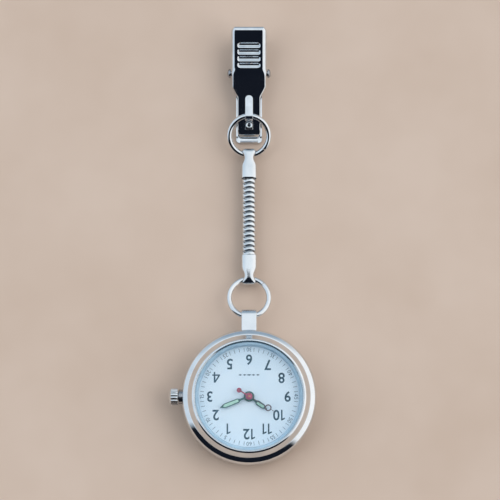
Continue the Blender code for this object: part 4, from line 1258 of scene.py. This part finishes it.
@dataclass
class Studio:
    """Pale card floor, soft light from both sides, and the camera above, in metres.

    The dark end of the room is bounded by a direction's Y (dark_from) and by its angle about Z in
    radians (dark_turn, dark_width). The far side is bounded by a direction's Y (back_from).
    """

    height: float = 0.554
    camera_y: float = -0.0385
    aim: Point3 = (0.0002, 0.03129, 0.0)
    lens: float = 190.7
    sensor: float = 36.0
    dark_from: Point2 = (-0.035, -0.07)
    dark_turn: float = 0.17
    dark_width: Point2 = (0.94, 1.06)
    dark_colour: str = "151922"
    back_from: Point2 = (0.62, 0.92)
    back_colour: str = "9AABBB"
    side_colours: tuple[str, str, str] = ("D5E2EE", "EDF4FA", "FFFFFF")
    room_strength: float = 1.1
    light_colour: Point3 = (0.96, 0.98, 1.0)

    def build(self) -> None:
        """Sets up the floor, the surroundings, the lights and the camera."""
        self.floor()
        self.surroundings()
        self.softbox("left_softbox", (-0.55, 0.05, 0.5), 0.75, 2.1)
        self.softbox("right_softbox", (0.55, 0.12, 0.45), 0.75, 2.7)
        self.camera()

    def floor(self) -> None:
        """Lays the card."""
        select_none()
        bpy.ops.mesh.primitive_plane_add(size=3.0, location=(0, 0, -0.0001))
        card = bpy.context.object
        card.name = "card_floor"
        card.data.materials.append(PALE_CARD.material())

    def surroundings(self) -> None:
        """Paints the room that the chrome mirrors: bright ceiling and sides, dark towards -Y."""
        world = bpy.data.worlds.new("studio")
        bpy.context.scene.world = world
        world.use_nodes = True
        tree = world.node_tree
        direction = add_node(tree, "ShaderNodeTexCoord").outputs["Generated"]
        parts = add_node(tree, "ShaderNodeSeparateXYZ", {"Vector": direction}).outputs

        def math_of(operation: str, first: bpy.types.NodeSocket, *second: object) -> bpy.types.NodeSocket:
            """Works out one sum of directions."""
            values = dict(enumerate((first, *second)))
            return add_node(tree, "ShaderNodeMath", values, operation=operation).outputs["Value"]

        def blended(share: bpy.types.NodeSocket, first: object, second: object) -> bpy.types.NodeSocket:
            """Blends two colours of the room."""
            return add_node(tree, "ShaderNodeMix", {0: share, 6: first, 7: second}, data_type="RGBA").outputs[2]

        past = mapped(tree, parts["Y"], self.dark_from)
        around = math_of("ARCTAN2", parts["X"], math_of("MULTIPLY", parts["Y"], -1.0))
        width = math_of("ABSOLUTE", math_of("ADD", around, self.dark_turn))
        flank = mapped(tree, width, self.dark_width)
        stops = [(i / 2, linear(code)) for i, code in enumerate(self.side_colours)]
        across = mapped(tree, parts["X"], (-0.6, 0.6))
        sides = add_node(tree, "ShaderNodeValToRGB", {"Fac": across}, stops=stops).outputs["Color"]
        bright = blended(mapped(tree, parts["Y"], self.back_from), sides, linear(self.back_colour))
        shaded = blended(past, bright, linear(self.dark_colour))
        lit = blended(flank, shaded, bright)
        background = tree.nodes["Background"]
        tree.links.new(lit, background.inputs["Color"])
        background.inputs["Strength"].default_value = self.room_strength

    def softbox(self, name: str, place: Point3, size: float, power: float) -> None:
        """Hangs a square soft light that faces the watch.

        Args:
            name: The light's name.
            place: Where it hangs, in metres.
            size: Its side, in metres.
            power: Its power in watts.
        """
        bpy.ops.object.light_add(type="AREA", location=place)
        light = bpy.context.object
        light.name = name
        light.data.energy = power
        light.data.size = size
        light.data.color = self.light_colour
        light.visible_glossy = False
        facing = Vector(self.aim) - Vector(place)
        light.rotation_euler = facing.to_track_quat("-Z", "Y").to_euler()

    def camera(self) -> None:
        """Places the camera above the watch, a little towards its twelve."""
        place = Vector((self.aim[0], self.camera_y, self.height))
        bpy.ops.object.camera_add(location=place)
        camera = bpy.context.object
        camera.name = "studio_camera"
        camera.rotation_euler = (Vector(self.aim) - place).to_track_quat("-Z", "Y").to_euler()
        camera.data.lens = self.lens
        camera.data.sensor_width = self.sensor
        camera.data.clip_start = 0.01
        camera.data.dof.use_dof = False
        bpy.context.scene.camera = camera
        bpy.context.scene.view_settings.view_transform = "Standard"


def main() -> None:
    """Builds the looks of the whole watch."""
    logging.basicConfig(level=logging.INFO, format="%(message)s")
    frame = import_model()
    select_none()
    Studio().build()
    parts: tuple[Callable[[], None], ...] = (
        WatchCase().build,
        Dial().build,
        Hands().build,
        Crown().build,
        Chain().build,
        Clip().build,
    )
    for build in parts:
        build()
    Movement().dress(frame["nodes"])


if __name__ == "__main__":
    main()
